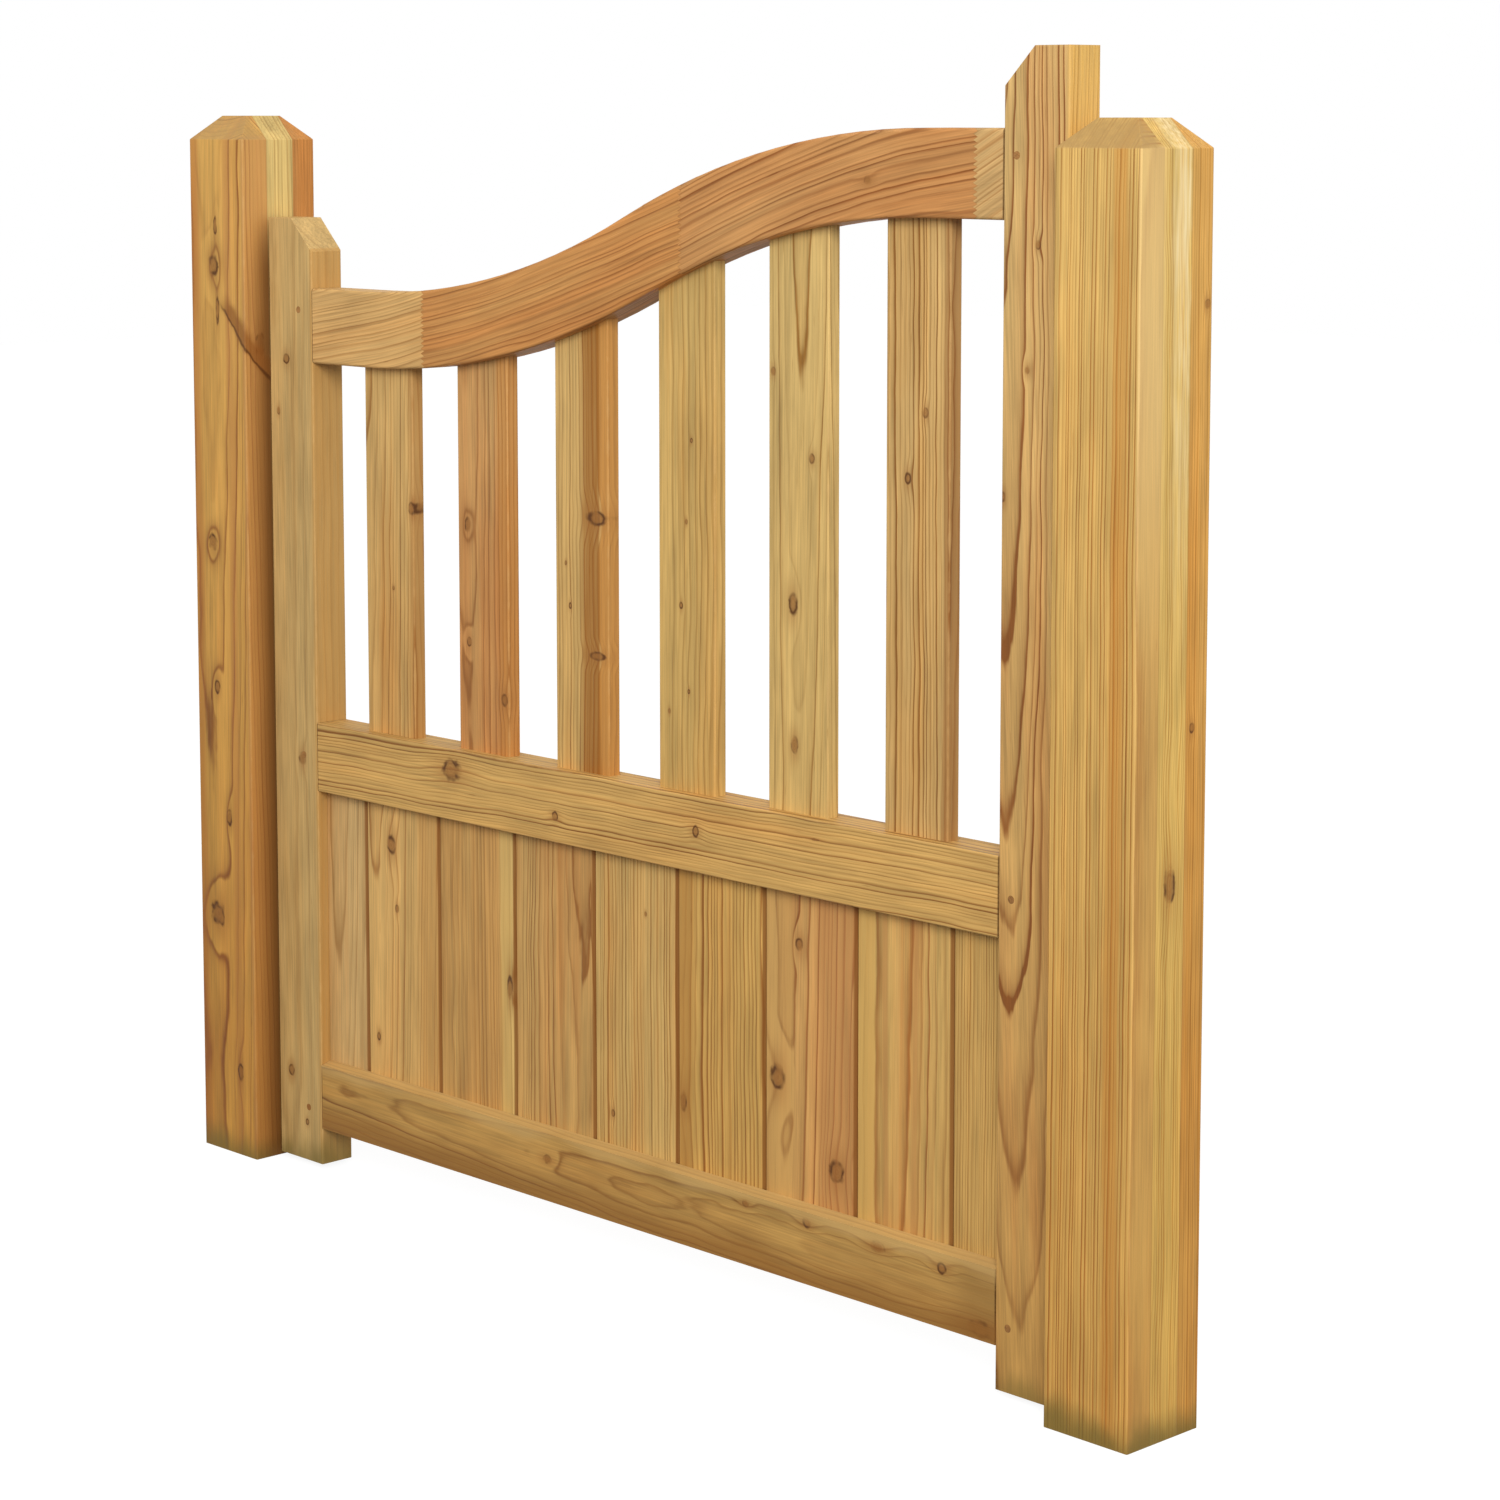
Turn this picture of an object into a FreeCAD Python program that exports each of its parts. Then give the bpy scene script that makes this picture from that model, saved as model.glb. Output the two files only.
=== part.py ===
import FreeCAD, Part
import math
import os
import Sketcher

# Swan-neck garden gate, hung between two square larch posts.
# Millimetres. X runs along the gate to the hanging post, Y away from the front, Z up from the ground.
# The origin is on the ground, midway between the posts, in the middle plane of the leaf.

doc = FreeCAD.newDocument("garden_gate")
sheet = doc.addObject("Spreadsheet::Sheet", "dims")

DRIVING = [
    ("leaf_width", 1066),
    ("frame_width", 70),
    ("frame_thickness", 38),
    ("arris", 1.5),
    ("rail_arris", 3),
    ("ground_clearance", 6),
    ("tall_stile_length", 1128),
    ("short_stile_length", 968),
    ("stile_clip", 33),
    ("post_side", 90),
    ("post_shoulder", 1052),
    ("post_cap", 24),
    ("leaf_gap", 7),
    ("horn_length", 38),
    ("rail_bevel", 4),
    ("middle_rail_rise", 388.5),
    ("crest_rise", 898.3),
    ("top_rail_depth", 75),
    ("sweep_run", 750),
    ("sweep_rise", 163),
    ("tenon_thickness", 12),
    ("tenon_length", 50),
    ("mortise_relief", 2),
    ("infill_thickness", 14),
    ("housing_depth", 12),
    ("end_play", 1),
    ("paling_count", 6),
    ("paling_width", 74),
    ("board_cover", 114.4),
    ("full_boards", 7),
    ("board_joint", 0.3),
    ("board_vee", 3.5),
    ("tongue_length", 6),
    ("tongue_thickness", 4),
    ("tongue_play", 0.3),
    ("stile_groove", 10),
    ("groove_play", 0.2),
    ("peg_radius", 3.5),
    ("hanging_peg_inset", 14),
    ("closing_peg_inset", 22),
    ("top_peg_drop", 22),
    ("bottom_peg_lift", 18),
    ("knuckle_radius", 6.5),
    ("knuckle_gap", 0.5),
    ("leaf_knuckle_gap", 1),
    ("pin_radius", 3.5),
    ("pin_play", 0.05),
    ("pin_head", 2),
    ("pin_head_radius", 4.4),
    ("strap_length", 250),
    ("strap_height", 28),
    ("strap_tip", 16),
    ("strap_thickness", 3),
    ("plate_height", 80),
    ("plate_thickness", 2.5),
    ("plate_margin", 1),
    ("plate_knuckle", 20),
    ("upper_hinge_level", 1008),
    ("screw_radius", 2),
    ("screw_length", 25),
    ("screw_head", 1.8),
    ("screw_head_radius", 4),
    ("screw_play", 0.1),
    ("screw_pitch", 60),
    ("strap_screws", 4),
    ("plate_screw_pitch", 30),
]

DERIVED = [
    ("leaf_half", "leaf_width / 2"),
    ("opening_half", "leaf_half - frame_width"),
    ("opening_width", "2 * opening_half"),
    ("half_thickness", "frame_thickness / 2"),
    ("half_infill", "infill_thickness / 2"),
    ("post_face", "leaf_half + leaf_gap"),
    ("post_centre", "post_face + post_side / 2"),
    ("post_height", "post_shoulder + post_cap"),
    ("bottom_rail_low", "ground_clearance + horn_length"),
    ("bottom_rail_top", "bottom_rail_low + frame_width"),
    ("middle_rail_low", "ground_clearance + middle_rail_rise"),
    ("middle_rail_top", "middle_rail_low + frame_width"),
    ("low_crest", "ground_clearance + crest_rise"),
    ("high_crest", "low_crest + sweep_rise"),
    ("low_soffit", "low_crest - top_rail_depth"),
    ("high_soffit", "high_crest - top_rail_depth"),
    ("sweep_radius", "(sweep_run ^ 2 + sweep_rise ^ 2) / (4 * sweep_rise)"),
    ("low_arc_centre", "low_crest + sweep_radius"),
    ("high_arc_centre", "high_crest - sweep_radius"),
    ("paling_gap", "(opening_width - paling_count * paling_width) / (paling_count + 1)"),
    ("paling_pitch", "paling_width + paling_gap"),
    ("tenon_shoulder", "housing_depth + end_play"),
    ("paling_foot", "middle_rail_top - housing_depth"),
    ("end_board", "(opening_width - full_boards * board_cover) / 2"),
    ("board_foot", "bottom_rail_top - housing_depth"),
    ("board_length", "middle_rail_low + housing_depth - end_play - board_foot"),
    ("groove_width", "infill_thickness + 2 * groove_play"),
    ("pivot_x", "leaf_half"),
    ("pivot_y", "half_thickness + leaf_knuckle_gap + knuckle_radius"),
    ("strap_face", "half_thickness + strap_thickness"),
    ("plate_back", "post_side / 2 - plate_margin"),
    ("plate_notch", "pivot_y + knuckle_radius + knuckle_gap"),
    ("plate_screw_y", "(plate_notch + plate_back) / 2"),
    ("lower_hinge_level", "(bottom_rail_low + bottom_rail_top) / 2"),
]

row = 0
for name, value in DRIVING:
    row += 1
    sheet.set("A%d" % row, name)
    sheet.set("B%d" % row, str(value))
    sheet.setAlias("B%d" % row, name)
for name, formula in DERIVED:
    row += 1
    sheet.set("A%d" % row, name)
    sheet.set("B%d" % row, "=" + formula)
    sheet.setAlias("B%d" % row, name)
doc.recompute()


def size(name):
    """Return the value of a named size in the sheet."""
    return float(sheet.get(name))


def size_of(formula):
    """Work a formula out in a spare cell of the sheet."""
    sheet.set("D1", "=" + formula.replace("dims.", ""))
    sheet.recompute()
    result = float(sheet.get("D1"))
    sheet.clear("D1")
    return result


def bind(thing, path, formula):
    """Bind a property to a formula of named sizes, each written as dims.NAME."""
    thing.setExpression(path, str(formula))


def place(thing, x="0", y="0", z="0"):
    """Bind the position of an object."""
    bind(thing, "Placement.Base.x", x)
    bind(thing, "Placement.Base.y", y)
    bind(thing, "Placement.Base.z", z)


def block(name, lengths, corner):
    """Rectangular block from three length formulas and the formulas of its low corner."""
    thing = doc.addObject("Part::Box", name)
    for prop, formula in zip(("Length", "Width", "Height"), lengths):
        bind(thing, prop, formula)
    place(thing, *corner)
    return thing


TURNS = {
    "X": FreeCAD.Rotation(FreeCAD.Vector(0, 1, 0), 90),
    "Y": FreeCAD.Rotation(FreeCAD.Vector(1, 0, 0), -90),
    "Z": FreeCAD.Rotation(),
}


def rod(name, radius, length, start, axis):
    """Round rod that runs from a start point along +X, +Y or +Z."""
    thing = doc.addObject("Part::Cylinder", name)
    thing.Placement = FreeCAD.Placement(FreeCAD.Vector(), TURNS[axis])
    bind(thing, "Radius", radius)
    bind(thing, "Height", length)
    place(thing, *start)
    return thing


def joined(name, pieces):
    """Weld several solids into one."""
    thing = doc.addObject("Part::MultiFuse", name)
    thing.Shapes = pieces
    return thing


def group(name, pieces):
    """Keep several solids together as one set of separate pieces."""
    thing = doc.addObject("Part::Compound", name)
    thing.Links = pieces
    return thing


def carved(name, base, tools):
    """Cut tools out of a base."""
    thing = doc.addObject("Part::Cut", name)
    thing.Base = base
    thing.Tool = tools[0] if len(tools) == 1 else joined(name + "_tools", tools)
    return thing


def body_sketch(name, plane):
    """Start a body and a sketch on one of its origin planes."""
    body = doc.addObject("PartDesign::Body", name)
    sketch = body.newObject("Sketcher::SketchObject", name + "_sketch")
    for feature in body.Origin.OriginFeatures:
        if getattr(feature, "Role", "") == plane:
            sketch.AttachmentSupport = [(feature, "")]
    sketch.MapMode = "FlatFace"
    return body, sketch


def fix_point(sketch, geometry, point, across, up):
    """Hold a sketch point at two formulas."""
    for kind, formula in (("DistanceX", across), ("DistanceY", up)):
        if formula is not None:
            held = Sketcher.Constraint(kind, -1, 1, geometry, point, size_of(formula))
            index = sketch.addConstraint(held)
            sketch.setExpression("Constraints[%d]" % index, formula)


def outline(sketch, corners):
    """Draw a closed outline of straight lines through corners given as formula pairs."""
    count = len(corners)
    points = [FreeCAD.Vector(size_of(across), size_of(up), 0) for across, up in corners]
    for k in range(count):
        sketch.addGeometry(Part.LineSegment(points[k], points[(k + 1) % count]), False)
    for k in range(count):
        sketch.addConstraint(Sketcher.Constraint("Coincident", k, 2, (k + 1) % count, 1))
    for k, (across, up) in enumerate(corners):
        fix_point(sketch, k, 1, across, up)


def pad(body, sketch, length, both_ways=False):
    """Pad the sketch of a body by a length formula."""
    feature = body.newObject("PartDesign::Pad", body.Name + "_pad")
    feature.Profile = sketch
    if both_ways:
        feature.SideType = "Symmetric"
    bind(feature, "Length", length)
    doc.recompute()
    return feature


def edge_names(feature, chosen):
    """Names of the edges of a feature that pass a test."""
    return ["Edge%d" % (k + 1) for k, edge in enumerate(feature.Shape.Edges) if chosen(edge)]


def ease(body, feature, chosen, radius="dims.arris"):
    """Round the chosen edges of a body, to the common arris unless another radius is given."""
    rounding = body.newObject("PartDesign::Fillet", body.Name + "_arris")
    rounding.Base = (feature, edge_names(feature, chosen))
    bind(rounding, "Radius", radius)
    doc.recompute()


def stands_above(level):
    """Return a test for edges that lie wholly above a level."""
    return lambda edge: min(vertex.Z for vertex in edge.Vertexes) > level


def reaches_above(level):
    """Return a test for edges with any part above a level."""
    return lambda edge: max(vertex.Z for vertex in edge.Vertexes) > level


ALIGNED = 0.999
SAME_PLACE = 0.001


def runs_along(direction):
    """Return a test for straight edges along a direction."""
    axis = FreeCAD.Vector(*direction)

    def test(edge):
        run = edge.Vertexes[-1].Point - edge.Vertexes[0].Point
        return run.Length > 0 and abs(run.dot(axis)) > ALIGNED * run.Length
    return test


def rectangle(half_across, half_up):
    """Corners of a rectangle about the sketch origin."""
    signs = ((-1, -1), (1, -1), (1, 1), (-1, 1))
    return [("%d * (%s)" % (a, half_across), "%d * (%s)" % (b, half_up)) for a, b in signs]


def eased_bar(name, plane, direction, corners, length):
    """Bar of a given section with its long edges rounded."""
    body, sketch = body_sketch(name, plane)
    outline(sketch, corners)
    feature = pad(body, sketch, length)
    ease(body, feature, runs_along(direction))
    return body


def sweep(sketch, offset):
    """Draw the swan-neck line, a given offset inside the top edge, and return its parts.

    Two arcs meet midway: the low one hangs from a centre above it, the high one stands on a centre
    below it, and a level line runs on from each of them.
    """
    drop = size_of(offset)
    turn = 2 * math.atan(size("sweep_rise") / size("sweep_run"))
    half_run = size("sweep_run") / 2
    low_radius = size("sweep_radius") + drop
    high_radius = size("sweep_radius") - drop
    low_centre = FreeCAD.Vector(-half_run, size("low_arc_centre"), 0)
    high_centre = FreeCAD.Vector(half_run, size("high_arc_centre"), 0)
    normal = FreeCAD.Vector(0, 0, 1)
    low_start = low_centre - FreeCAD.Vector(0, low_radius, 0)
    high_end = high_centre + FreeCAD.Vector(0, high_radius, 0)
    reach = FreeCAD.Vector(size("opening_half") - half_run, 0, 0)
    quarter = math.pi / 2
    low_line = sketch.addGeometry(Part.LineSegment(low_start - reach, low_start), False)
    low_arc = sketch.addGeometry(
        Part.ArcOfCircle(Part.Circle(low_centre, normal, low_radius), -quarter, turn - quarter), False)
    high_arc = sketch.addGeometry(
        Part.ArcOfCircle(Part.Circle(high_centre, normal, high_radius), quarter, turn + quarter), False)
    high_line = sketch.addGeometry(Part.LineSegment(high_end, high_end + reach), False)
    sketch.addConstraint(Sketcher.Constraint("Tangent", low_line, 2, low_arc, 1))
    sketch.addConstraint(Sketcher.Constraint("Tangent", low_arc, 2, high_arc, 2))
    sketch.addConstraint(Sketcher.Constraint("Tangent", high_arc, 1, high_line, 1))
    sketch.addConstraint(Sketcher.Constraint("Horizontal", low_line))
    sketch.addConstraint(Sketcher.Constraint("Horizontal", high_line))
    fix_point(sketch, low_arc, 3, "-dims.sweep_run / 2", "dims.low_arc_centre")
    fix_point(sketch, high_arc, 3, "dims.sweep_run / 2", "dims.high_arc_centre")
    index = sketch.addConstraint(Sketcher.Constraint("Radius", low_arc, low_radius))
    sketch.setExpression("Constraints[%d]" % index, "dims.sweep_radius + %s" % offset)
    fix_point(sketch, low_line, 1, "-dims.opening_half", None)
    fix_point(sketch, high_line, 2, "dims.opening_half", None)
    return low_line, high_line


def close_ends(sketch, upper, lower):
    """Close a band between two lines of a sketch with an upright edge at each end."""
    for first, point in ((0, 1), (1, 2)):
        top_end = sketch.getPoint(upper[first], point)
        low_end = sketch.getPoint(lower[first], point)
        edge = sketch.addGeometry(Part.LineSegment(top_end, low_end), False)
        sketch.addConstraint(Sketcher.Constraint("Coincident", edge, 1, upper[first], point))
        sketch.addConstraint(Sketcher.Constraint("Coincident", edge, 2, lower[first], point))


def sweep_field(name, offset, thickness):
    """Upright sheet from the paling feet up to a swan-neck line inside the top rail."""
    body, sketch = body_sketch(name, "XZ_Plane")
    upper = sweep(sketch, offset)
    foot = size("paling_foot")
    reach = size("opening_half")
    ends = FreeCAD.Vector(-reach, foot, 0), FreeCAD.Vector(reach, foot, 0)
    base = sketch.addGeometry(Part.LineSegment(*ends), False)
    fix_point(sketch, base, 1, "-dims.opening_half", "dims.paling_foot")
    fix_point(sketch, base, 2, "dims.opening_half", "dims.paling_foot")
    close_ends(sketch, upper, (base, base))
    pad(body, sketch, thickness, both_ways=True)
    return body


def pegs_at(side, inset):
    """Three pegs down one stile, one through each tenon; side is 1 at the hanging stile."""
    x = "%d * (dims.opening_half + %s)" % (side, inset)
    crest = "dims.high_crest" if side > 0 else "dims.low_crest"
    levels = (
        crest + " - dims.top_peg_drop",
        "(dims.middle_rail_low + dims.middle_rail_top) / 2",
        "dims.bottom_rail_low + dims.bottom_peg_lift",
    )
    name = "hanging" if side > 0 else "closing"
    return [rod("%s_peg_%d" % (name, k + 1), "dims.peg_radius", "dims.frame_thickness",
                (x, "-dims.half_thickness", level), "Y") for k, level in enumerate(levels)]


def rail_spans(side):
    """Low and high level of the three rails where they meet one stile."""
    if side > 0:
        top = ("dims.high_soffit", "dims.high_crest")
    else:
        top = ("dims.low_soffit", "dims.low_crest")
    middle = ("dims.middle_rail_low", "dims.middle_rail_top")
    bottom = ("dims.bottom_rail_low", "dims.bottom_rail_top")
    return top, middle, bottom


def tongue_block(name, side, span, length):
    """Block for a tenon, or with a longer length for its mortise, at one end of a rail."""
    low, high = span
    x = "dims.opening_half" if side > 0 else "-dims.opening_half - (%s)" % length
    height = "%s - %s - 2 * dims.tenon_shoulder" % (high, low)
    lengths = (length, "dims.tenon_thickness", height)
    return block(name, lengths, (x, "-dims.tenon_thickness / 2", low + " + dims.tenon_shoulder"))


# Hinge screws
# One set holds each strap to the back of a rail, another holds each plate to the post.


def screw(name, axis, seat):
    """Wood screw with a round head, driven from its seat along -Y into the leaf or +X into the post."""
    x, y, z = seat
    if axis == "Y":
        shank_start = (x, "%s - dims.screw_length" % y, z)
        head_start = seat
    else:
        shank_start = seat
        head_start = ("%s - dims.screw_head" % x, y, z)
    shank = rod(name + "_shank", "dims.screw_radius", "dims.screw_length", shank_start, axis)
    head = rod(name + "_head", "dims.screw_head_radius", "dims.screw_head", head_start, axis)
    return joined(name, [shank, head])


def screw_hole(name, axis, seat):
    """Hole that takes the shank of a screw."""
    x, y, z = seat
    radius = "dims.screw_radius + dims.screw_play"
    length = "dims.screw_length + dims.screw_play"
    if axis == "Y":
        return rod(name, radius, length, (x, "%s - (%s)" % (y, length), z), axis)
    return rod(name, radius, length, seat, axis)


def strap_seats(level):
    """Places of the strap screws: one in the stile, three along the rail."""
    first = "dims.pivot_x - dims.frame_width / 2"
    return [("%s - %d * dims.screw_pitch" % (first, k), "dims.strap_face", level)
            for k in range(int(size("strap_screws")))]


BELOW_MIDDLE_ABOVE = (-1, 0, 1)


def plate_seats(level):
    """Places of the three plate screws."""
    x = "dims.post_face - dims.plate_thickness"
    return [(x, "dims.plate_screw_y", "%s + %d * dims.plate_screw_pitch" % (level, k))
            for k in BELOW_MIDDLE_ABOVE]


HINGES = {"upper": "dims.upper_hinge_level", "lower": "dims.lower_hinge_level"}


def strap_holes(name, which):
    """Holes for one set of strap screws."""
    seats = strap_seats(HINGES[which])
    return [screw_hole("%s_%s_hole_%d" % (name, which, k), "Y", seat) for k, seat in enumerate(seats)]


def plate_holes(name, which):
    """Holes for one set of plate screws."""
    seats = plate_seats(HINGES[which])
    return [screw_hole("%s_%s_hole_%d" % (name, which, k), "X", seat) for k, seat in enumerate(seats)]


nodes = {}

# Posts
# Square planed posts with a flat-topped cap chamfered on all four sides.


def post(name, side):
    """Post with a chamfered cap, standing on the ground."""
    body, sketch = body_sketch(name + "_timber", "XY_Plane")
    outline(sketch, rectangle("dims.post_side / 2", "dims.post_side / 2"))
    shaft = pad(body, sketch, "dims.post_height")
    cap = body.newObject("PartDesign::Chamfer", name + "_cap")
    cap.Base = (shaft, edge_names(shaft, stands_above(size("post_shoulder"))))
    bind(cap, "Size", "dims.post_cap")
    doc.recompute()
    ease(body, cap, reaches_above(0))
    place(body, "%d * dims.post_centre" % side)
    return body


post_holes = plate_holes("hanging_post", "upper") + plate_holes("hanging_post", "lower")
nodes["hanging_post"] = carved("hanging_post", post("hanging_post", 1), post_holes)
nodes["closing_post"] = post("closing_post", -1)

# Stiles
# Square-edged uprights, clipped at the inner top corner, mortised for three rails and grooved for
# the boards between the lower two.


def stile(name, side, length, extra):
    """Stile on one side of the leaf; side is 1 at the hanging post."""
    section = rectangle("dims.frame_width / 2", "dims.half_thickness")
    timber = eased_bar(name + "_timber", "XY_Plane", (0, 0, 1), section, length)
    place(timber, "%d * (dims.leaf_half - dims.frame_width / 2)" % side, "0", "dims.ground_clearance")
    clip, sketch = body_sketch(name + "_clip", "XZ_Plane")
    inner = "%d * dims.opening_half" % side
    outer = "%d * (dims.opening_half + dims.stile_clip)" % side
    top = "dims.ground_clearance + " + length
    outline(sketch, [(inner, top), (outer, top), (inner, top + " - dims.stile_clip")])
    pad(clip, sketch, "2 * dims.frame_thickness", both_ways=True)
    depth = "dims.tenon_length + dims.mortise_relief"
    tools = [tongue_block("%s_mortise_%d" % (name, k), side, span, depth)
             for k, span in enumerate(rail_spans(side))]
    groove_start = "dims.opening_half" if side > 0 else "-dims.opening_half - dims.stile_groove"
    tools.append(block(name + "_groove",
                       ("dims.stile_groove", "dims.groove_width", "dims.board_length + dims.end_play"),
                       (groove_start, "-dims.groove_width / 2", "dims.board_foot")))
    inset = "dims.hanging_peg_inset" if side > 0 else "dims.closing_peg_inset"
    pegs = pegs_at(side, inset)
    nodes[name + "_pegs"] = group(name + "_pegs", pegs)
    return carved(name, timber, [clip] + tools + pegs + extra), pegs


hanging_screws = strap_holes("hanging_stile", "upper") + strap_holes("hanging_stile", "lower")
nodes["hanging_stile"], hanging_pegs = stile("hanging_stile", 1, "dims.tall_stile_length", hanging_screws)
nodes["closing_stile"], closing_pegs = stile("closing_stile", -1, "dims.short_stile_length", [])

# Rails
# Each has a stub tenon at both ends, pinned by one peg.


def rail(name, timber, spans, tools):
    """Add tenons to a rail timber and cut its housings and peg holes."""
    low_span, high_span = spans
    tenons = [
        tongue_block(name + "_tenon_closing", -1, low_span, "dims.tenon_length"),
        tongue_block(name + "_tenon_hanging", 1, high_span, "dims.tenon_length"),
    ]
    whole = joined(name + "_whole", [timber] + tenons)
    return carved(name, whole, tools + hanging_pegs + closing_pegs)


top_timber, top_sketch = body_sketch("top_rail_timber", "XZ_Plane")
top_edge = sweep(top_sketch, "0")
soffit = sweep(top_sketch, "dims.top_rail_depth")
close_ends(top_sketch, top_edge, soffit)
top_pad = pad(top_timber, top_sketch, "dims.frame_thickness", both_ways=True)


def faces_front_or_back(edge):
    """Tell the long edges of the swept rail from its ends and its cross edges."""
    points = edge.Vertexes[0].Point, edge.Vertexes[-1].Point
    level = abs(points[0].y - points[1].y) < SAME_PLACE
    return level and abs(points[0].x - points[1].x) > SAME_PLACE


ease(top_timber, top_pad, faces_front_or_back, "dims.rail_arris")

housing_line = "dims.top_rail_depth - dims.housing_depth"
paling_field = sweep_field("paling_field", housing_line, "dims.infill_thickness")
housing_field = sweep_field("housing_field", housing_line + " - dims.end_play", "dims.infill_thickness")


def paling_x(k):
    """Formula of the left edge of a paling."""
    return "-dims.opening_half + dims.paling_gap + %d * dims.paling_pitch" % k


paling_numbers = range(int(size("paling_count")))
paling_height = "dims.high_crest - dims.paling_foot"
paling_slots = []
for k in paling_numbers:
    slot_size = ("dims.paling_width", "dims.infill_thickness", paling_height)
    slot = block("paling_slot_%d" % k, slot_size, (paling_x(k), "-dims.half_infill", "dims.paling_foot"))
    common = doc.addObject("Part::Common", "paling_housing_%d" % k)
    common.Base = slot
    common.Tool = housing_field
    paling_slots.append(common)

top_spans = rail_spans(-1)[0], rail_spans(1)[0]
middle_spans = rail_spans(-1)[1], rail_spans(1)[1]
bottom_spans = rail_spans(-1)[2], rail_spans(1)[2]
nodes["top_rail"] = rail("top_rail", top_timber, top_spans, paling_slots + strap_holes("top_rail", "upper"))

middle_section = rectangle("dims.half_thickness", "dims.frame_width / 2")
middle_timber = eased_bar("middle_rail_timber", "YZ_Plane", (1, 0, 0), middle_section, "dims.opening_width")
place(middle_timber, "-dims.opening_half", "0", "(dims.middle_rail_low + dims.middle_rail_top) / 2")


def board_groove(name, low):
    """Groove along a rail that takes the board ends."""
    return block(name, ("dims.opening_width", "dims.groove_width", "dims.housing_depth"),
                 ("-dims.opening_half", "-dims.groove_width / 2", low))


nodes["middle_rail"] = rail("middle_rail", middle_timber, middle_spans,
                            paling_slots + [board_groove("middle_groove", "dims.middle_rail_low")])

bottom_section = [
    ("-dims.half_thickness", "dims.bottom_rail_low"),
    ("dims.half_thickness", "dims.bottom_rail_low"),
    ("dims.half_thickness", "dims.bottom_rail_top"),
    ("-dims.half_infill", "dims.bottom_rail_top"),
    ("-dims.half_thickness", "dims.bottom_rail_top - dims.rail_bevel"),
]
bottom_timber, bottom_sketch = body_sketch("bottom_rail_timber", "YZ_Plane")
outline(bottom_sketch, bottom_section)
pad(bottom_timber, bottom_sketch, "dims.opening_width")
place(bottom_timber, "-dims.opening_half")
bottom_tools = [board_groove("bottom_groove", "dims.board_foot")] + strap_holes("bottom_rail", "lower")
nodes["bottom_rail"] = rail("bottom_rail", bottom_timber, bottom_spans, bottom_tools)

# Palings
# Upright slats, square at the foot and cut to the sweep at the head.

for k in paling_numbers:
    section = rectangle("dims.paling_width / 2", "dims.half_infill")
    slat = eased_bar("paling_slat_%d" % k, "XY_Plane", (0, 0, 1), section, paling_height)
    place(slat, paling_x(k) + " + dims.paling_width / 2", "0", "dims.paling_foot")
    name = "paling_%d" % (k + 1)
    paling = doc.addObject("Part::Common", name)
    paling.Base = slat
    paling.Tool = paling_field
    nodes[name] = paling

# Boards
# Tongue and groove boards with a vee at each joint, housed in both rails and in the stiles.


def board_section(width, plain_left, plain_right):
    """Corners of a board section that starts at x = 0 and ends at the given width."""
    face = "dims.half_infill"
    neck = "dims.half_infill - dims.board_vee"
    tongue = "dims.tongue_thickness / 2"
    groove = "dims.tongue_thickness / 2 + dims.tongue_play"
    edge = "%s - dims.board_joint" % width
    tip = edge + " + dims.tongue_length"
    if plain_right:
        right = [(width, "-" + face), (width, face)]
    else:
        right = [(edge + " - dims.board_vee", "-" + face), (edge, "-(%s)" % neck), (edge, "-(%s)" % tongue),
                 (tip, "-(%s)" % tongue), (tip, tongue), (edge, tongue), (edge, neck),
                 (edge + " - dims.board_vee", face)]
    deep = "dims.tongue_length + dims.tongue_play"
    if plain_left:
        left = [("0", face), ("0", "-" + face)]
    else:
        left = [("dims.board_vee", face), ("0", neck), ("0", groove), (deep, groove),
                (deep, "-(%s)" % groove), ("0", "-(%s)" % groove), ("0", "-(%s)" % neck),
                ("dims.board_vee", "-" + face)]
    return right + left


board_total = int(size("full_boards")) + 2
for k in range(board_total):
    first = k == 0
    last = k == board_total - 1
    housed = "dims.stile_groove - dims.end_play"
    width = "dims.end_board + " + housed if first or last else "dims.board_cover"
    if first:
        start = "-dims.opening_half - (%s)" % housed
    else:
        start = "-dims.opening_half + dims.end_board + %d * dims.board_cover" % (k - 1)
    name = "board_%d" % (k + 1)
    board, board_sketch = body_sketch(name, "XY_Plane")
    outline(board_sketch, board_section("(%s)" % width, first, last))
    pad(board, board_sketch, "dims.board_length")
    place(board, start, "0", "dims.board_foot")
    nodes[name] = board

# Hinges
# Strap hinges on the back: the strap lies on the rail, the narrow plate stands on the reveal of the
# hanging post, and a headed pin joins three knuckles between the leaf and the post.


def knuckle(name, low, height):
    """Solid knuckle on the pivot, bored later."""
    return rod(name, "dims.knuckle_radius", height, ("dims.pivot_x", "dims.pivot_y", low), "Z")


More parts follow.
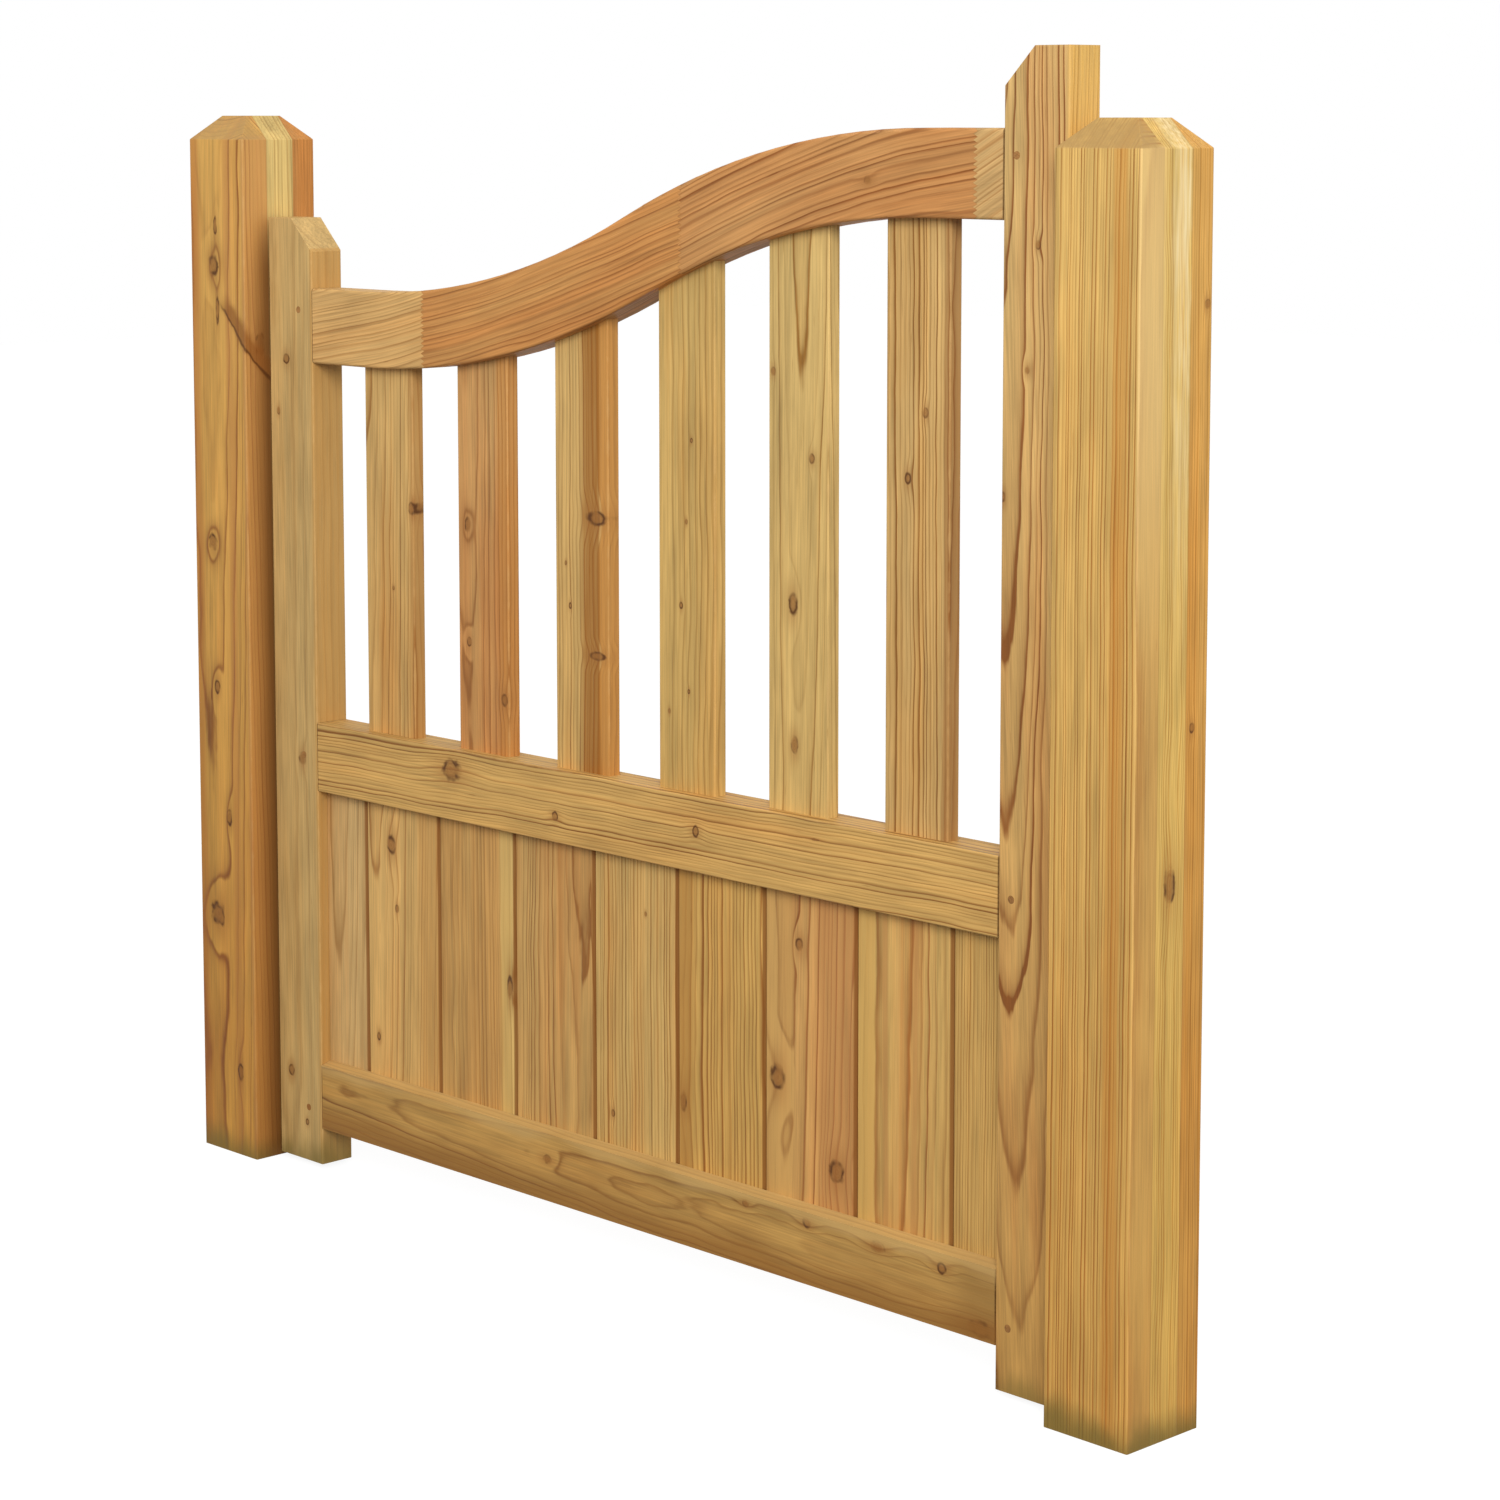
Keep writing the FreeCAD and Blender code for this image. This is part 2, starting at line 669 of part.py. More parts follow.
def hinge(which, level):
    """Plate, strap, pin and screws of one hinge."""
    half_strap = "dims.strap_height / 2"
    bore = rod(which + "_bore", "dims.pin_radius + dims.pin_play", "2 * dims.plate_height",
               ("dims.pivot_x", "dims.pivot_y", level + " - dims.plate_height"), "Z")

    strap, strap_sketch = body_sketch(which + "_strap_flat", "XZ_Plane")
    tip_x = "dims.pivot_x - dims.strap_length"
    tip_half = "dims.strap_tip / 2"
    outline(strap_sketch, [
        (tip_x, "%s - %s" % (level, tip_half)),
        ("dims.pivot_x", "%s - %s" % (level, half_strap)),
        ("dims.pivot_x", "%s + %s" % (level, half_strap)),
        (tip_x, "%s + %s" % (level, tip_half)),
    ])
    pad(strap, strap_sketch, "dims.strap_thickness", both_ways=True)
    place(strap, "0", "dims.half_thickness + dims.strap_thickness / 2")
    strap_knuckle = knuckle(which + "_strap_knuckle", "%s - %s" % (level, half_strap), "dims.strap_height")
    strap_whole = joined(which + "_strap_whole", [strap, strap_knuckle])
    name = which + "_hinge_strap"
    nodes[name] = carved(name, strap_whole, [bore] + strap_holes(name, which))

    half_plate = "dims.plate_height / 2"
    clear = "dims.strap_height / 2 + dims.knuckle_gap"
    plate, plate_sketch = body_sketch(which + "_plate_flat", "YZ_Plane")
    outline(plate_sketch, [
        ("dims.pivot_y", "%s - (%s) - dims.plate_knuckle" % (level, clear)),
        ("dims.plate_back", "%s - %s" % (level, half_plate)),
        ("dims.plate_back", "%s + %s" % (level, half_plate)),
        ("dims.pivot_y", "%s + %s + dims.plate_knuckle" % (level, clear)),
        ("dims.pivot_y", "%s + %s" % (level, clear)),
        ("dims.plate_notch", "%s + %s" % (level, clear)),
        ("dims.plate_notch", "%s - (%s)" % (level, clear)),
        ("dims.pivot_y", "%s - (%s)" % (level, clear)),
    ])
    pad(plate, plate_sketch, "dims.plate_thickness")
    place(plate, "dims.post_face - dims.plate_thickness")
    ears = [
        knuckle(which + "_ear_high", "%s + %s" % (level, clear), "dims.plate_knuckle"),
        knuckle(which + "_ear_low", "%s - (%s) - dims.plate_knuckle" % (level, clear), "dims.plate_knuckle"),
    ]
    plate_whole = joined(which + "_plate_whole", [plate] + ears)
    name = which + "_hinge_plate"
    nodes[name] = carved(name, plate_whole, [bore] + plate_holes(name, which))

    ear_top = "%s + %s + dims.plate_knuckle" % (level, clear)
    shank_length = "2 * (%s + dims.plate_knuckle)" % clear
    shank = rod(which + "_pin_shank", "dims.pin_radius", shank_length,
                ("dims.pivot_x", "dims.pivot_y", "%s - (%s) - dims.plate_knuckle" % (level, clear)), "Z")
    head = rod(which + "_pin_cap", "dims.pin_head_radius", "dims.pin_head",
               ("dims.pivot_x", "dims.pivot_y", ear_top), "Z")
    name = which + "_hinge_pin"
    nodes[name] = joined(name, [shank, head])

    for kind, axis, seats in (("strap", "Y", strap_seats(level)), ("plate", "X", plate_seats(level))):
        name = "%s_%s_screws" % (which, kind)
        nodes[name] = group(name, [screw("%s_%d" % (name, k), axis, seat) for k, seat in enumerate(seats)])


for which, level in HINGES.items():
    hinge(which, level)

doc.recompute()

# Check every object, then write each node.

os.makedirs("parts", exist_ok=True)
for thing in doc.Objects:
    if "Invalid" in thing.State or "Error" in thing.State:
        raise RuntimeError("%s is in state %s" % (thing.Name, thing.State))
for name, thing in nodes.items():
    thing.Label = name
    shape = thing.Shape
    if shape.isNull() or not shape.isValid():
        raise RuntimeError("%s has no valid shape" % name)
    shape.exportStep("parts/%s.step" % name)
    box = shape.BoundBox
    lengths = (box.XLength, box.YLength, box.ZLength)
    print("%-22s %7.1f %7.1f %7.1f" % ((name,) + lengths), "solids", len(shape.Solids))
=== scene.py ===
import math

import bpy
import numpy as np
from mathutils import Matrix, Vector


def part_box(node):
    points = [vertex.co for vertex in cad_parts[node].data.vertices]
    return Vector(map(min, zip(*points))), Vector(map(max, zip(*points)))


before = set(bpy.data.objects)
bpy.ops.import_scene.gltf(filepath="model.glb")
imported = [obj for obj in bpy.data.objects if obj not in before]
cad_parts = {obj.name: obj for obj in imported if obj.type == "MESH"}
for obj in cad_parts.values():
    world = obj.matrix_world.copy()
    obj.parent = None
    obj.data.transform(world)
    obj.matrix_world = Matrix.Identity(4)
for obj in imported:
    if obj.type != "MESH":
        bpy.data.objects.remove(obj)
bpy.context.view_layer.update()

# Posts
# Two square larch posts, each glued up from planed staves, with a cap chamfered on all four sides.
# They stand in the ground on either side of the leaf, and the right one carries the hinges.

AXIS = {"X": np.array((1.0, 0, 0)), "Y": np.array((0, 1.0, 0)), "Z": np.array((0, 0, 1.0))}
VALUE = "NodeSocketFloat"
COLOUR = "NodeSocketColor"
VECTOR = "NodeSocketVector"
MM = 1000


def tint(red, green, blue):
    """Linear colour of a screen colour out of 255: ((c / 255 + 0.055) / 1.055) to the power 2.4."""
    channels = ((np.array((red, green, blue)) / 255 + 0.055) / 1.055) ** 2.4
    return tuple(float(c) for c in channels) + (1.0,)


def put(tree, kind, inputs, **settings):
    """Add a shader node; inputs holds a value or a socket for each input, by name or number."""
    made = tree.nodes.new(kind)
    for name, value in settings.items():
        setattr(made, name, value)
    for key, value in inputs.items():
        if isinstance(value, bpy.types.NodeSocket):
            tree.links.new(value, made.inputs[key])
        else:
            made.inputs[key].default_value = value
    return made


def maths(tree, operation, *values):
    """One sum on sockets or numbers."""
    return put(tree, "ShaderNodeMath", dict(enumerate(values)), operation=operation).outputs[0]


def arrows(tree, operation, *values):
    """One sum on vectors; a dot product or a length gives a number."""
    made = put(tree, "ShaderNodeVectorMath", dict(enumerate(values)), operation=operation)
    return made.outputs["Value" if operation in ("DOT_PRODUCT", "LENGTH") else "Vector"]


def ramp(tree, value, start, end):
    """Smooth step from 0 at start to 1 at end; start may be the larger."""
    inputs = {"Value": value, "From Min": start, "From Max": end}
    return put(tree, "ShaderNodeMapRange", inputs, interpolation_type="SMOOTHSTEP").outputs["Result"]


def mixed(tree, amount, first, second):
    """Mix of two colours."""
    return put(tree, "ShaderNodeMix", {0: amount, 6: first, 7: second}, data_type="RGBA").outputs[2]


def ripple(tree, place, scale, seed, detail=1.0):
    """Noise about zero, from -0.5 to 0.5, with its own scale along each axis, in waves per metre."""
    stretched = arrows(tree, "MULTIPLY", place, scale)
    inputs = {"Vector": stretched, "W": seed, "Scale": 1.0, "Detail": detail}
    noise = put(tree, "ShaderNodeTexNoise", inputs, noise_dimensions="4D").outputs[0]
    return maths(tree, "SUBTRACT", noise, 0.5)


def new_group(name, inputs, outputs):
    """Start a node group; returns its tree and the sockets inside it."""
    tree = bpy.data.node_groups.new(name, "ShaderNodeTree")
    for label, kind in inputs:
        tree.interface.new_socket(label, in_out="INPUT", socket_type=kind)
    for label, kind in outputs:
        tree.interface.new_socket(label, in_out="OUTPUT", socket_type=kind)
    return tree, tree.nodes.new("NodeGroupInput").outputs, tree.nodes.new("NodeGroupOutput").inputs


def use_group(tree, name, inputs):
    """Place a node group in a tree."""
    return put(tree, "ShaderNodeGroup", inputs, node_tree=bpy.data.node_groups[name]).outputs


def along_x(tree, place):
    """Distance along the gate."""
    return put(tree, "ShaderNodeSeparateXYZ", {0: place}).outputs[0]


def along_y(tree, place):
    """Distance through the gate."""
    return put(tree, "ShaderNodeSeparateXYZ", {0: place}).outputs[1]


def along_z(tree, place):
    """Height above the ground."""
    return put(tree, "ShaderNodeSeparateXYZ", {0: place}).outputs[2]


# Noise that bends the rings: waves per metre across and along the grain, detail, and depth.
RING_BENDS = ((6, 2.0, 1.0, 3.0), (20, 9, 1.0, 1.7), (90, 22, 2.0, 0.55))
# Share of a ring at which its late line is darkest, and how unevenly wide the rings are.
LATE_PEAK = 0.88
RING_SPREAD = 1.8
# Waves per metre of the fibres, streaks, warm patches, resin ducts and mottle.
FIBRE = (700, 700, 12)
STREAK = (60, 60, 1.6)
PATCH = (16, 16, 3.5)
DUCT = (420, 420, 30)
MOTTLE = (70, 70, 14)
# How far fibres, streaks and mottle lighten and darken the wood, and how dark a duct is.
FIBRE_SHADE = 0.85
STREAK_SHADE = 0.75
MOTTLE_SHADE = 0.5
DUCT_SHADE = 0.35
# How soft the late line is where a face cuts the rings straight, and how much more where it lies along them.
SOFT = 0.15
SOFT_FLAT = 0.2
# Keeps the sine of the angle between ring and face off zero.
LEAST_SINE = 1.04
# Least share of its colour that a late line has, and the span of heat from pale to warm wood.
LEAST_LINE = 0.25
WARM_SPAN = (0.2, 0.8)
HEART_BLEND = 3.0
HEART_HEAT = 0.5
STREAK_HEAT = 0.9


def make_larch_group():
    """Larch cut from a log whose pith is the local Z axis.

    Growth rings are the distance to the pith, bent by slow, middling and quick noise and by knots.
    Each ring darkens towards a line at its outer edge, the thinner the higher the power Thin. Where the
    face lies along the rings the line would spread, so Thin is divided by the sine of the angle between
    them. The wood inside the heart radius is warmer than the sapwood outside it. Fibres, streaks and
    the short dark dashes of resin ducts are noise drawn out along the pith.
    """
    tree, given, result = new_group("larch", [
        ("Place", VECTOR), ("Facing", VECTOR), ("Seed", VALUE), ("Ring", VALUE), ("Wander", VALUE),
        ("Swirl", VALUE), ("Strength", VALUE), ("Thin", VALUE), ("Warmth", VALUE), ("Heart", VALUE),
        ("Early", COLOUR), ("Late", COLOUR), ("Warm", COLOUR),
    ], [("Colour", COLOUR), ("Late wood", VALUE), ("Fibre", VALUE)])
    place, seed = given["Place"], given["Seed"]
    bend = 0.0
    for wide, long, detail, depth in RING_BENDS:
        bend = maths(tree, "MULTIPLY_ADD", ripple(tree, place, (wide, wide, long), seed, detail), depth, bend)
    outward = arrows(tree, "MULTIPLY", place, (MM, MM, 0))
    across = arrows(tree, "LENGTH", outward)
    along = arrows(tree, "DOT_PRODUCT", arrows(tree, "NORMALIZE", outward), given["Facing"])
    flat = maths(tree, "MULTIPLY", along, along)
    sine = maths(tree, "SQRT", maths(tree, "SUBTRACT", LEAST_SINE, flat))
    bent = maths(tree, "MULTIPLY_ADD", bend, given["Wander"], across)
    bent = maths(tree, "ADD", bent, given["Swirl"])
    count = maths(tree, "DIVIDE", bent, given["Ring"])
    year = maths(tree, "MULTIPLY_ADD", count, 0.31, seed)
    uneven = put(tree, "ShaderNodeTexNoise", {"W": year, "Scale": 1.0, "Detail": 1.0}, noise_dimensions="1D")
    count = maths(tree, "MULTIPLY_ADD", uneven.outputs[0], RING_SPREAD, count)
    part = maths(tree, "FRACT", count)
    whole = maths(tree, "MULTIPLY_ADD", maths(tree, "FLOOR", count), 1.37, seed)
    vigour = put(tree, "ShaderNodeTexWhiteNoise", {"W": whole}, noise_dimensions="1D").outputs["Value"]
    rising = ramp(tree, part, 0.0, LATE_PEAK)
    thin = maths(tree, "DIVIDE", given["Thin"], sine)
    sharp = maths(tree, "POWER", rising, thin)
    softness = maths(tree, "MULTIPLY_ADD", flat, SOFT_FLAT, SOFT)
    soft = maths(tree, "SUBTRACT", maths(tree, "MULTIPLY", rising, rising), sharp)
    line = maths(tree, "MULTIPLY_ADD", soft, softness, sharp)
    line = maths(tree, "MULTIPLY", line, ramp(tree, part, 1.0, LATE_PEAK))
    line = maths(tree, "MULTIPLY", line, maths(tree, "ADD", vigour, LEAST_LINE))
    fibre = ripple(tree, place, FIBRE, seed, 3.0)
    streak = ripple(tree, place, STREAK, seed, 2.0)
    patch = ripple(tree, place, PATCH, maths(tree, "ADD", seed, 7.0), 2.0)
    heat = maths(tree, "ADD", maths(tree, "MULTIPLY_ADD", streak, STREAK_HEAT, given["Warmth"]), patch)
    inner = maths(tree, "SUBTRACT", given["Heart"], bent)
    heat = maths(tree, "MULTIPLY_ADD", ramp(tree, inner, -HEART_BLEND, HEART_BLEND), HEART_HEAT, heat)
    base = mixed(tree, ramp(tree, heat, *WARM_SPAN), given["Early"], given["Warm"])
    faded = maths(tree, "MULTIPLY_ADD", patch, 1.5, 1.0)
    depth = maths(tree, "MULTIPLY", maths(tree, "MULTIPLY", line, faded), given["Strength"])
    duct = ripple(tree, place, DUCT, maths(tree, "ADD", seed, 3.0))
    depth = maths(tree, "MULTIPLY_ADD", ramp(tree, duct, 0.2, 0.32), DUCT_SHADE, depth)
    colour = mixed(tree, depth, base, given["Late"])
    mottle = ripple(tree, place, MOTTLE, maths(tree, "ADD", seed, 5.0), 2.0)
    shade = maths(tree, "MULTIPLY_ADD", fibre, FIBRE_SHADE, 1.0)
    shade = maths(tree, "MULTIPLY_ADD", streak, STREAK_SHADE, shade)
    shade = maths(tree, "MULTIPLY_ADD", mottle, MOTTLE_SHADE, shade)
    grained = put(tree, "ShaderNodeVectorMath", {0: colour, "Scale": shade}, operation="SCALE").outputs[0]
    tree.links.new(grained, result["Colour"])
    tree.links.new(line, result["Late wood"])
    tree.links.new(fibre, result["Fibre"])


# How far a branch swirls the rings about it and stains the wood, in radii across and along the grain.
SWIRL_SIZE = (3.6, 6.0)
SWIRL_DEPTH = 0.6
HALO_SIZE = (2.5, 4.0)
# Edges of the core, and of the rim inside and outside, in radii; waves of the branch's own rings.
CORE_EDGE = (1.3, 0.5)
RIM_INSIDE = (0.5, 0.95)
RIM_OUTSIDE = (1.4, 1.0)
KNOT_RINGS = 15.0


def make_knot_group():
    """A branch cut across: d is the distance from its middle in branch radii, drawn out along the grain.

    The core is d below 1, the rim a broken dark line at d = 1, and the halo a stain along the grain.
    The swirl pushes the rings of the trunk aside over a few radii.
    """
    tree, given, result = new_group("knot", [
        ("Place", VECTOR), ("Centre", VECTOR), ("Across", VECTOR), ("Along", VECTOR), ("Radius", VALUE),
        ("Stretch", VALUE), ("Seed", VALUE),
    ], [("Core", VALUE), ("Rim", VALUE), ("Halo", VALUE), ("Swirl", VALUE)])
    away = arrows(tree, "MULTIPLY", arrows(tree, "SUBTRACT", given["Place"], given["Centre"]), (MM, MM, MM))
    ragged = ripple(tree, away, (0.11, 0.11, 0.11), given["Seed"], 2.0)
    side = maths(tree, "DIVIDE", arrows(tree, "DOT_PRODUCT", away, given["Across"]), given["Radius"])
    reach = maths(tree, "DIVIDE", arrows(tree, "DOT_PRODUCT", away, given["Along"]), given["Radius"])
    reach = maths(tree, "DIVIDE", reach, given["Stretch"])
    square = maths(tree, "MULTIPLY_ADD", side, side, maths(tree, "MULTIPLY", reach, reach))
    distance = maths(tree, "MULTIPLY_ADD", ragged, 1.1, maths(tree, "SQRT", square))
    rings = maths(tree, "SINE", maths(tree, "MULTIPLY", distance, KNOT_RINGS))
    ringed = maths(tree, "MULTIPLY_ADD", rings, 0.12, 0.85)
    core = maths(tree, "MULTIPLY", ramp(tree, distance, *CORE_EDGE), ringed)
    rim = maths(tree, "MULTIPLY", ramp(tree, distance, *RIM_INSIDE), ramp(tree, distance, *RIM_OUTSIDE))
    broken = maths(tree, "MULTIPLY_ADD", ripple(tree, away, (0.09, 0.09, 0.09), given["Seed"]), 5.0, 0.6)
    rim = maths(tree, "MULTIPLY", rim, put(tree, "ShaderNodeClamp", {0: broken}).outputs[0])

    def spread(wide, long):
        """Soft oval spot, wide and long branch radii in size."""
        a = maths(tree, "DIVIDE", side, wide)
        b = maths(tree, "DIVIDE", reach, long)
        far = maths(tree, "SQRT", maths(tree, "MULTIPLY_ADD", a, a, maths(tree, "MULTIPLY", b, b)))
        return ramp(tree, far, 1.0, 0.0)

    swirl = maths(tree, "MULTIPLY", spread(*SWIRL_SIZE), given["Radius"])
    tree.links.new(core, result["Core"])
    tree.links.new(rim, result["Rim"])
    tree.links.new(spread(*HALO_SIZE), result["Halo"])
    tree.links.new(maths(tree, "MULTIPLY", swirl, SWIRL_DEPTH), result["Swirl"])


ARRIS_UNEVEN = 3.0


def make_arris_group():
    """Nearness to the edges of a squared timber: the two least distances to its faces, added up."""
    tree, given, result = new_group("arris", [
        ("Place", VECTOR), ("Centre", VECTOR), ("Half", VECTOR), ("Reach", VALUE),
    ], [("Edge", VALUE)])
    off = arrows(tree, "ABSOLUTE", arrows(tree, "SUBTRACT", given["Place"], given["Centre"]))
    inside = put(tree, "ShaderNodeSeparateXYZ", {0: arrows(tree, "SUBTRACT", given["Half"], off)}).outputs
    total = maths(tree, "ADD", maths(tree, "ADD", inside[0], inside[1]), inside[2])
    largest = maths(tree, "MAXIMUM", maths(tree, "MAXIMUM", inside[0], inside[1]), inside[2])
    near = maths(tree, "MULTIPLY", maths(tree, "SUBTRACT", total, largest), MM)
    uneven = maths(tree, "MULTIPLY", given["Reach"], ARRIS_UNEVEN)
    edge_wear_and_highlight = ripple(tree, given["Place"], (60, 60, 60), 3.0, 3.0)
    near = maths(tree, "ADD", near, maths(tree, "MULTIPLY", edge_wear_and_highlight, uneven))
    tree.links.new(ramp(tree, near, given["Reach"], 0.0), result["Edge"])


make_larch_group()
make_knot_group()
make_arris_group()

KNOT_CORE = tint(150, 100, 48)
KNOT_RIM = tint(84, 46, 16)
KNOT_STAIN = tint(164, 108, 54)
EDGE_HIGHLIGHT = tint(222, 182, 120)
FOOT_STAIN = tint(112, 96, 42)
GLUE_LINE = tint(150, 98, 46)
# Painted shade: the wood is darkened to this share of its colour at the ground, fading out by this height.
GROUND_SHADE_SHARE = (0.84, 0.75, 0.62)
UNSHADED_TOP = (1.0, 1.0, 1.0, 1.0)
SHADE_FADE_HEIGHT = 1.1
FOOT_HEIGHT = 0.034
FOOT_UNEVEN = 0.05
EDGE_REACH = 2.0
GLUE_SEAM = (0.0008, 0.0002)
GLUE_DEPTH = 0.3
HALO_DEPTH = 0.45
CORE_DEPTH = 0.7
RIM_DEPTH = 0.9
WOOD_ROUGHNESS = 0.62
WOOD_SPECULAR = 0.2
RELIEF_STRENGTH = 0.4
RELIEF_HEIGHT = 0.0005


def branches(tree, place, knots, along, seed):
    """Add up the knots of a timber.

    Each is given as the axis across the face it shows on, its place across and along in millimetres,
    its radius and how far it is drawn out along the grain.
    """
    core, rim, halo, swirl = 0.0, 0.0, 0.0, 0.0
    for number, (across, side, run, radius, stretch) in enumerate(knots):
        centre = (AXIS[across] * side + AXIS[along] * run) / MM
        knot = use_group(tree, "knot", {
            "Place": place, "Centre": centre, "Across": AXIS[across], "Along": AXIS[along],
            "Radius": radius, "Stretch": stretch, "Seed": seed + number})
        core = maths(tree, "MAXIMUM", core, knot["Core"])
        rim = maths(tree, "MAXIMUM", rim, knot["Rim"])
        halo = maths(tree, "MAXIMUM", halo, knot["Halo"])
        swirl = maths(tree, "ADD", swirl, knot["Swirl"])
    return core, rim, halo, swirl


def stave(pith, turn, ring, wander, strength, thin, warmth, heart, early, late, warm, seed, stripes=()):
    """One length of larch: where its pith lies (mm), how it is turned (degrees), its rings and colours.

    A stripe is given in millimetres along the gate as its left and right edge, how soft each of them is
    and how far they wander, and then as its colour and depth. Most are heart, sap or tan; those on the
    stiles' side faces and at the rails' shoulders are painted light and shade.
    """
    return {"pith": pith, "turn": turn, "seed": seed, "stripes": stripes, "values": {
        "Seed": seed, "Ring": ring, "Wander": wander, "Strength": strength, "Thin": thin,
        "Warmth": warmth, "Heart": heart,
        "Early": tint(*early), "Late": tint(*late), "Warm": tint(*warm)}}


def striped(tree, place, colour, fibre, stripes):
    """Lay stripes over a colour, each a smooth step up at its left edge and down at its right."""
    along = along_x(tree, place)
    for left, right, soft_left, soft_right, wander, shade, depth in stripes:
        bowed = maths(tree, "MULTIPLY_ADD", ripple(tree, place, (8, 8, 4), left, 2.0), wander / MM, along)
        band = maths(tree, "MULTIPLY", ramp(tree, bowed, left / MM, (left + soft_left) / MM),
                     ramp(tree, bowed, right / MM, (right - soft_right) / MM))
        band = maths(tree, "MULTIPLY", band, maths(tree, "MULTIPLY_ADD", fibre, 0.8, depth))
        colour = mixed(tree, band, colour, tint(*shade))
    return colour


def timber(node, staves, knots=(), grain="Z", split=None, limits=(), swept=None, foot=0.0, edge=0.3,
           ground=GROUND_SHADE_SHARE):
    """Give a node a larch finish of one or more staves glued edge to edge, and return its parts.

    split(tree, place) is the measure that tells the staves apart, and limits the values between them.
    swept(tree, place) straightens a piece whose grain follows a curve. Painted shade darkens the wood from
    its full colour at the head of the gate to the share ground of it at the bottom.
    """
    material = bpy.data.materials.new(node + "_larch")
    material.use_nodes = True
    tree = material.node_tree
    points = put(tree, "ShaderNodeTexCoord", {})
    place = points.outputs["Object"]
    low, high = (np.array(corner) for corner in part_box(node))
    core, rim, halo, swirl = branches(tree, place, knots, grain, staves[0]["seed"])
    measure = split(tree, place) if split else None
    straight = swept(tree, place) if swept else place
    colour = late = fibre = None
    for number, cut in enumerate(staves):
        turn = tuple(math.radians(angle) for angle in cut["turn"])
        local = put(tree, "ShaderNodeMapping", {
            "Vector": straight, "Location": np.array(cut["pith"]) / MM, "Rotation": turn},
            vector_type="TEXTURE").outputs[0]
        facing = put(tree, "ShaderNodeMapping", {"Vector": points.outputs["Normal"], "Rotation": turn},
                     vector_type="TEXTURE").outputs[0]
        wood = use_group(tree, "larch", {"Place": local, "Facing": facing, "Swirl": swirl, **cut["values"]})
        length = striped(tree, place, wood["Colour"], wood["Fibre"], cut["stripes"])
        if number == 0:
            colour, late, fibre = length, wood["Late wood"], wood["Fibre"]
        else:
            past = maths(tree, "GREATER_THAN", measure, limits[number - 1])
            colour = mixed(tree, past, colour, length)
            seam = maths(tree, "ABSOLUTE", maths(tree, "SUBTRACT", measure, limits[number - 1]))
            glued = maths(tree, "MULTIPLY", ramp(tree, seam, *GLUE_SEAM), GLUE_DEPTH)
            colour = mixed(tree, glued, colour, GLUE_LINE)
    colour = mixed(tree, maths(tree, "MULTIPLY", halo, HALO_DEPTH), colour, KNOT_STAIN)
    colour = mixed(tree, maths(tree, "MULTIPLY", core, CORE_DEPTH), colour, KNOT_CORE)
    colour = mixed(tree, maths(tree, "MULTIPLY", rim, RIM_DEPTH), colour, KNOT_RIM)
    # Painted highlight: the colour is paled along the edges, where eased arrises would catch the light.
    edge_wear_and_highlight = use_group(tree, "arris", {
        "Place": place, "Centre": (low + high) / 2, "Half": (high - low) / 2,
        "Reach": EDGE_REACH})["Edge"]
    colour = mixed(tree, maths(tree, "MULTIPLY", edge_wear_and_highlight, edge), colour, EDGE_HIGHLIGHT)
    # Painted shade: the colour is multiplied down towards the bottom of the gate.
    height = along_z(tree, place)
    height_shade = mixed(tree, maths(tree, "DIVIDE", height, SHADE_FADE_HEIGHT), (*ground, 1.0), UNSHADED_TOP)
    colour = arrows(tree, "MULTIPLY", colour, height_shade)
    if foot:
        damp = maths(tree, "MULTIPLY_ADD", ripple(tree, place, (30, 30, 14), 5.0, 3.0), FOOT_UNEVEN, height)
        stained = maths(tree, "MULTIPLY", ramp(tree, damp, FOOT_HEIGHT, 0.0), foot)
        colour = mixed(tree, stained, colour, FOOT_STAIN)
    rough = maths(tree, "MULTIPLY_ADD", late, -0.12, WOOD_ROUGHNESS)
    rough = maths(tree, "MULTIPLY_ADD", fibre, 0.3, rough)
    relief = maths(tree, "MULTIPLY_ADD", late, 0.6, fibre)
    relief = maths(tree, "MULTIPLY_ADD", rim, -0.6, relief)
    bump = put(tree, "ShaderNodeBump", {
        "Height": relief, "Strength": RELIEF_STRENGTH, "Distance": RELIEF_HEIGHT}).outputs[0]
    shader = tree.nodes["Principled BSDF"]
    tree.links.new(colour, shader.inputs["Base Color"])
    tree.links.new(rough, shader.inputs["Roughness"])
    tree.links.new(bump, shader.inputs["Normal"])
    shader.inputs["Specular IOR Level"].default_value = WOOD_SPECULAR
    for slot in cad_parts[node].material_slots:
        slot.material = material
    return tree, place, colour, shader


END_GRAIN = tint(176, 140, 84)
CAP_FOOT = 1.052
CAP_BLEND = 0.001
CAP_SIDE = 0.15
CAP_FRONT = (-0.012, -0.028)


def capped(parts, depth):
    """Dress the sawn slopes of a post's cap: duller end grain all round, with painted shade adding most of it
    on the front slope.
    """
    tree, place, colour, shader = parts
    height = along_z(tree, place)
    # Painted shade: depth darkens the front slope more than the side slopes.
    front = maths(tree, "MULTIPLY_ADD", ramp(tree, along_y(tree, place), *CAP_FRONT), depth, CAP_SIDE)
    cloud = maths(tree, "MULTIPLY_ADD", ripple(tree, place, (160, 160, 160), 4.0, 3.0), 0.5, front)
    slope = maths(tree, "MULTIPLY", ramp(tree, height, CAP_FOOT - CAP_BLEND, CAP_FOOT + CAP_BLEND), cloud)
    tree.links.new(mixed(tree, slope, colour, END_GRAIN), shader.inputs["Base Color"])


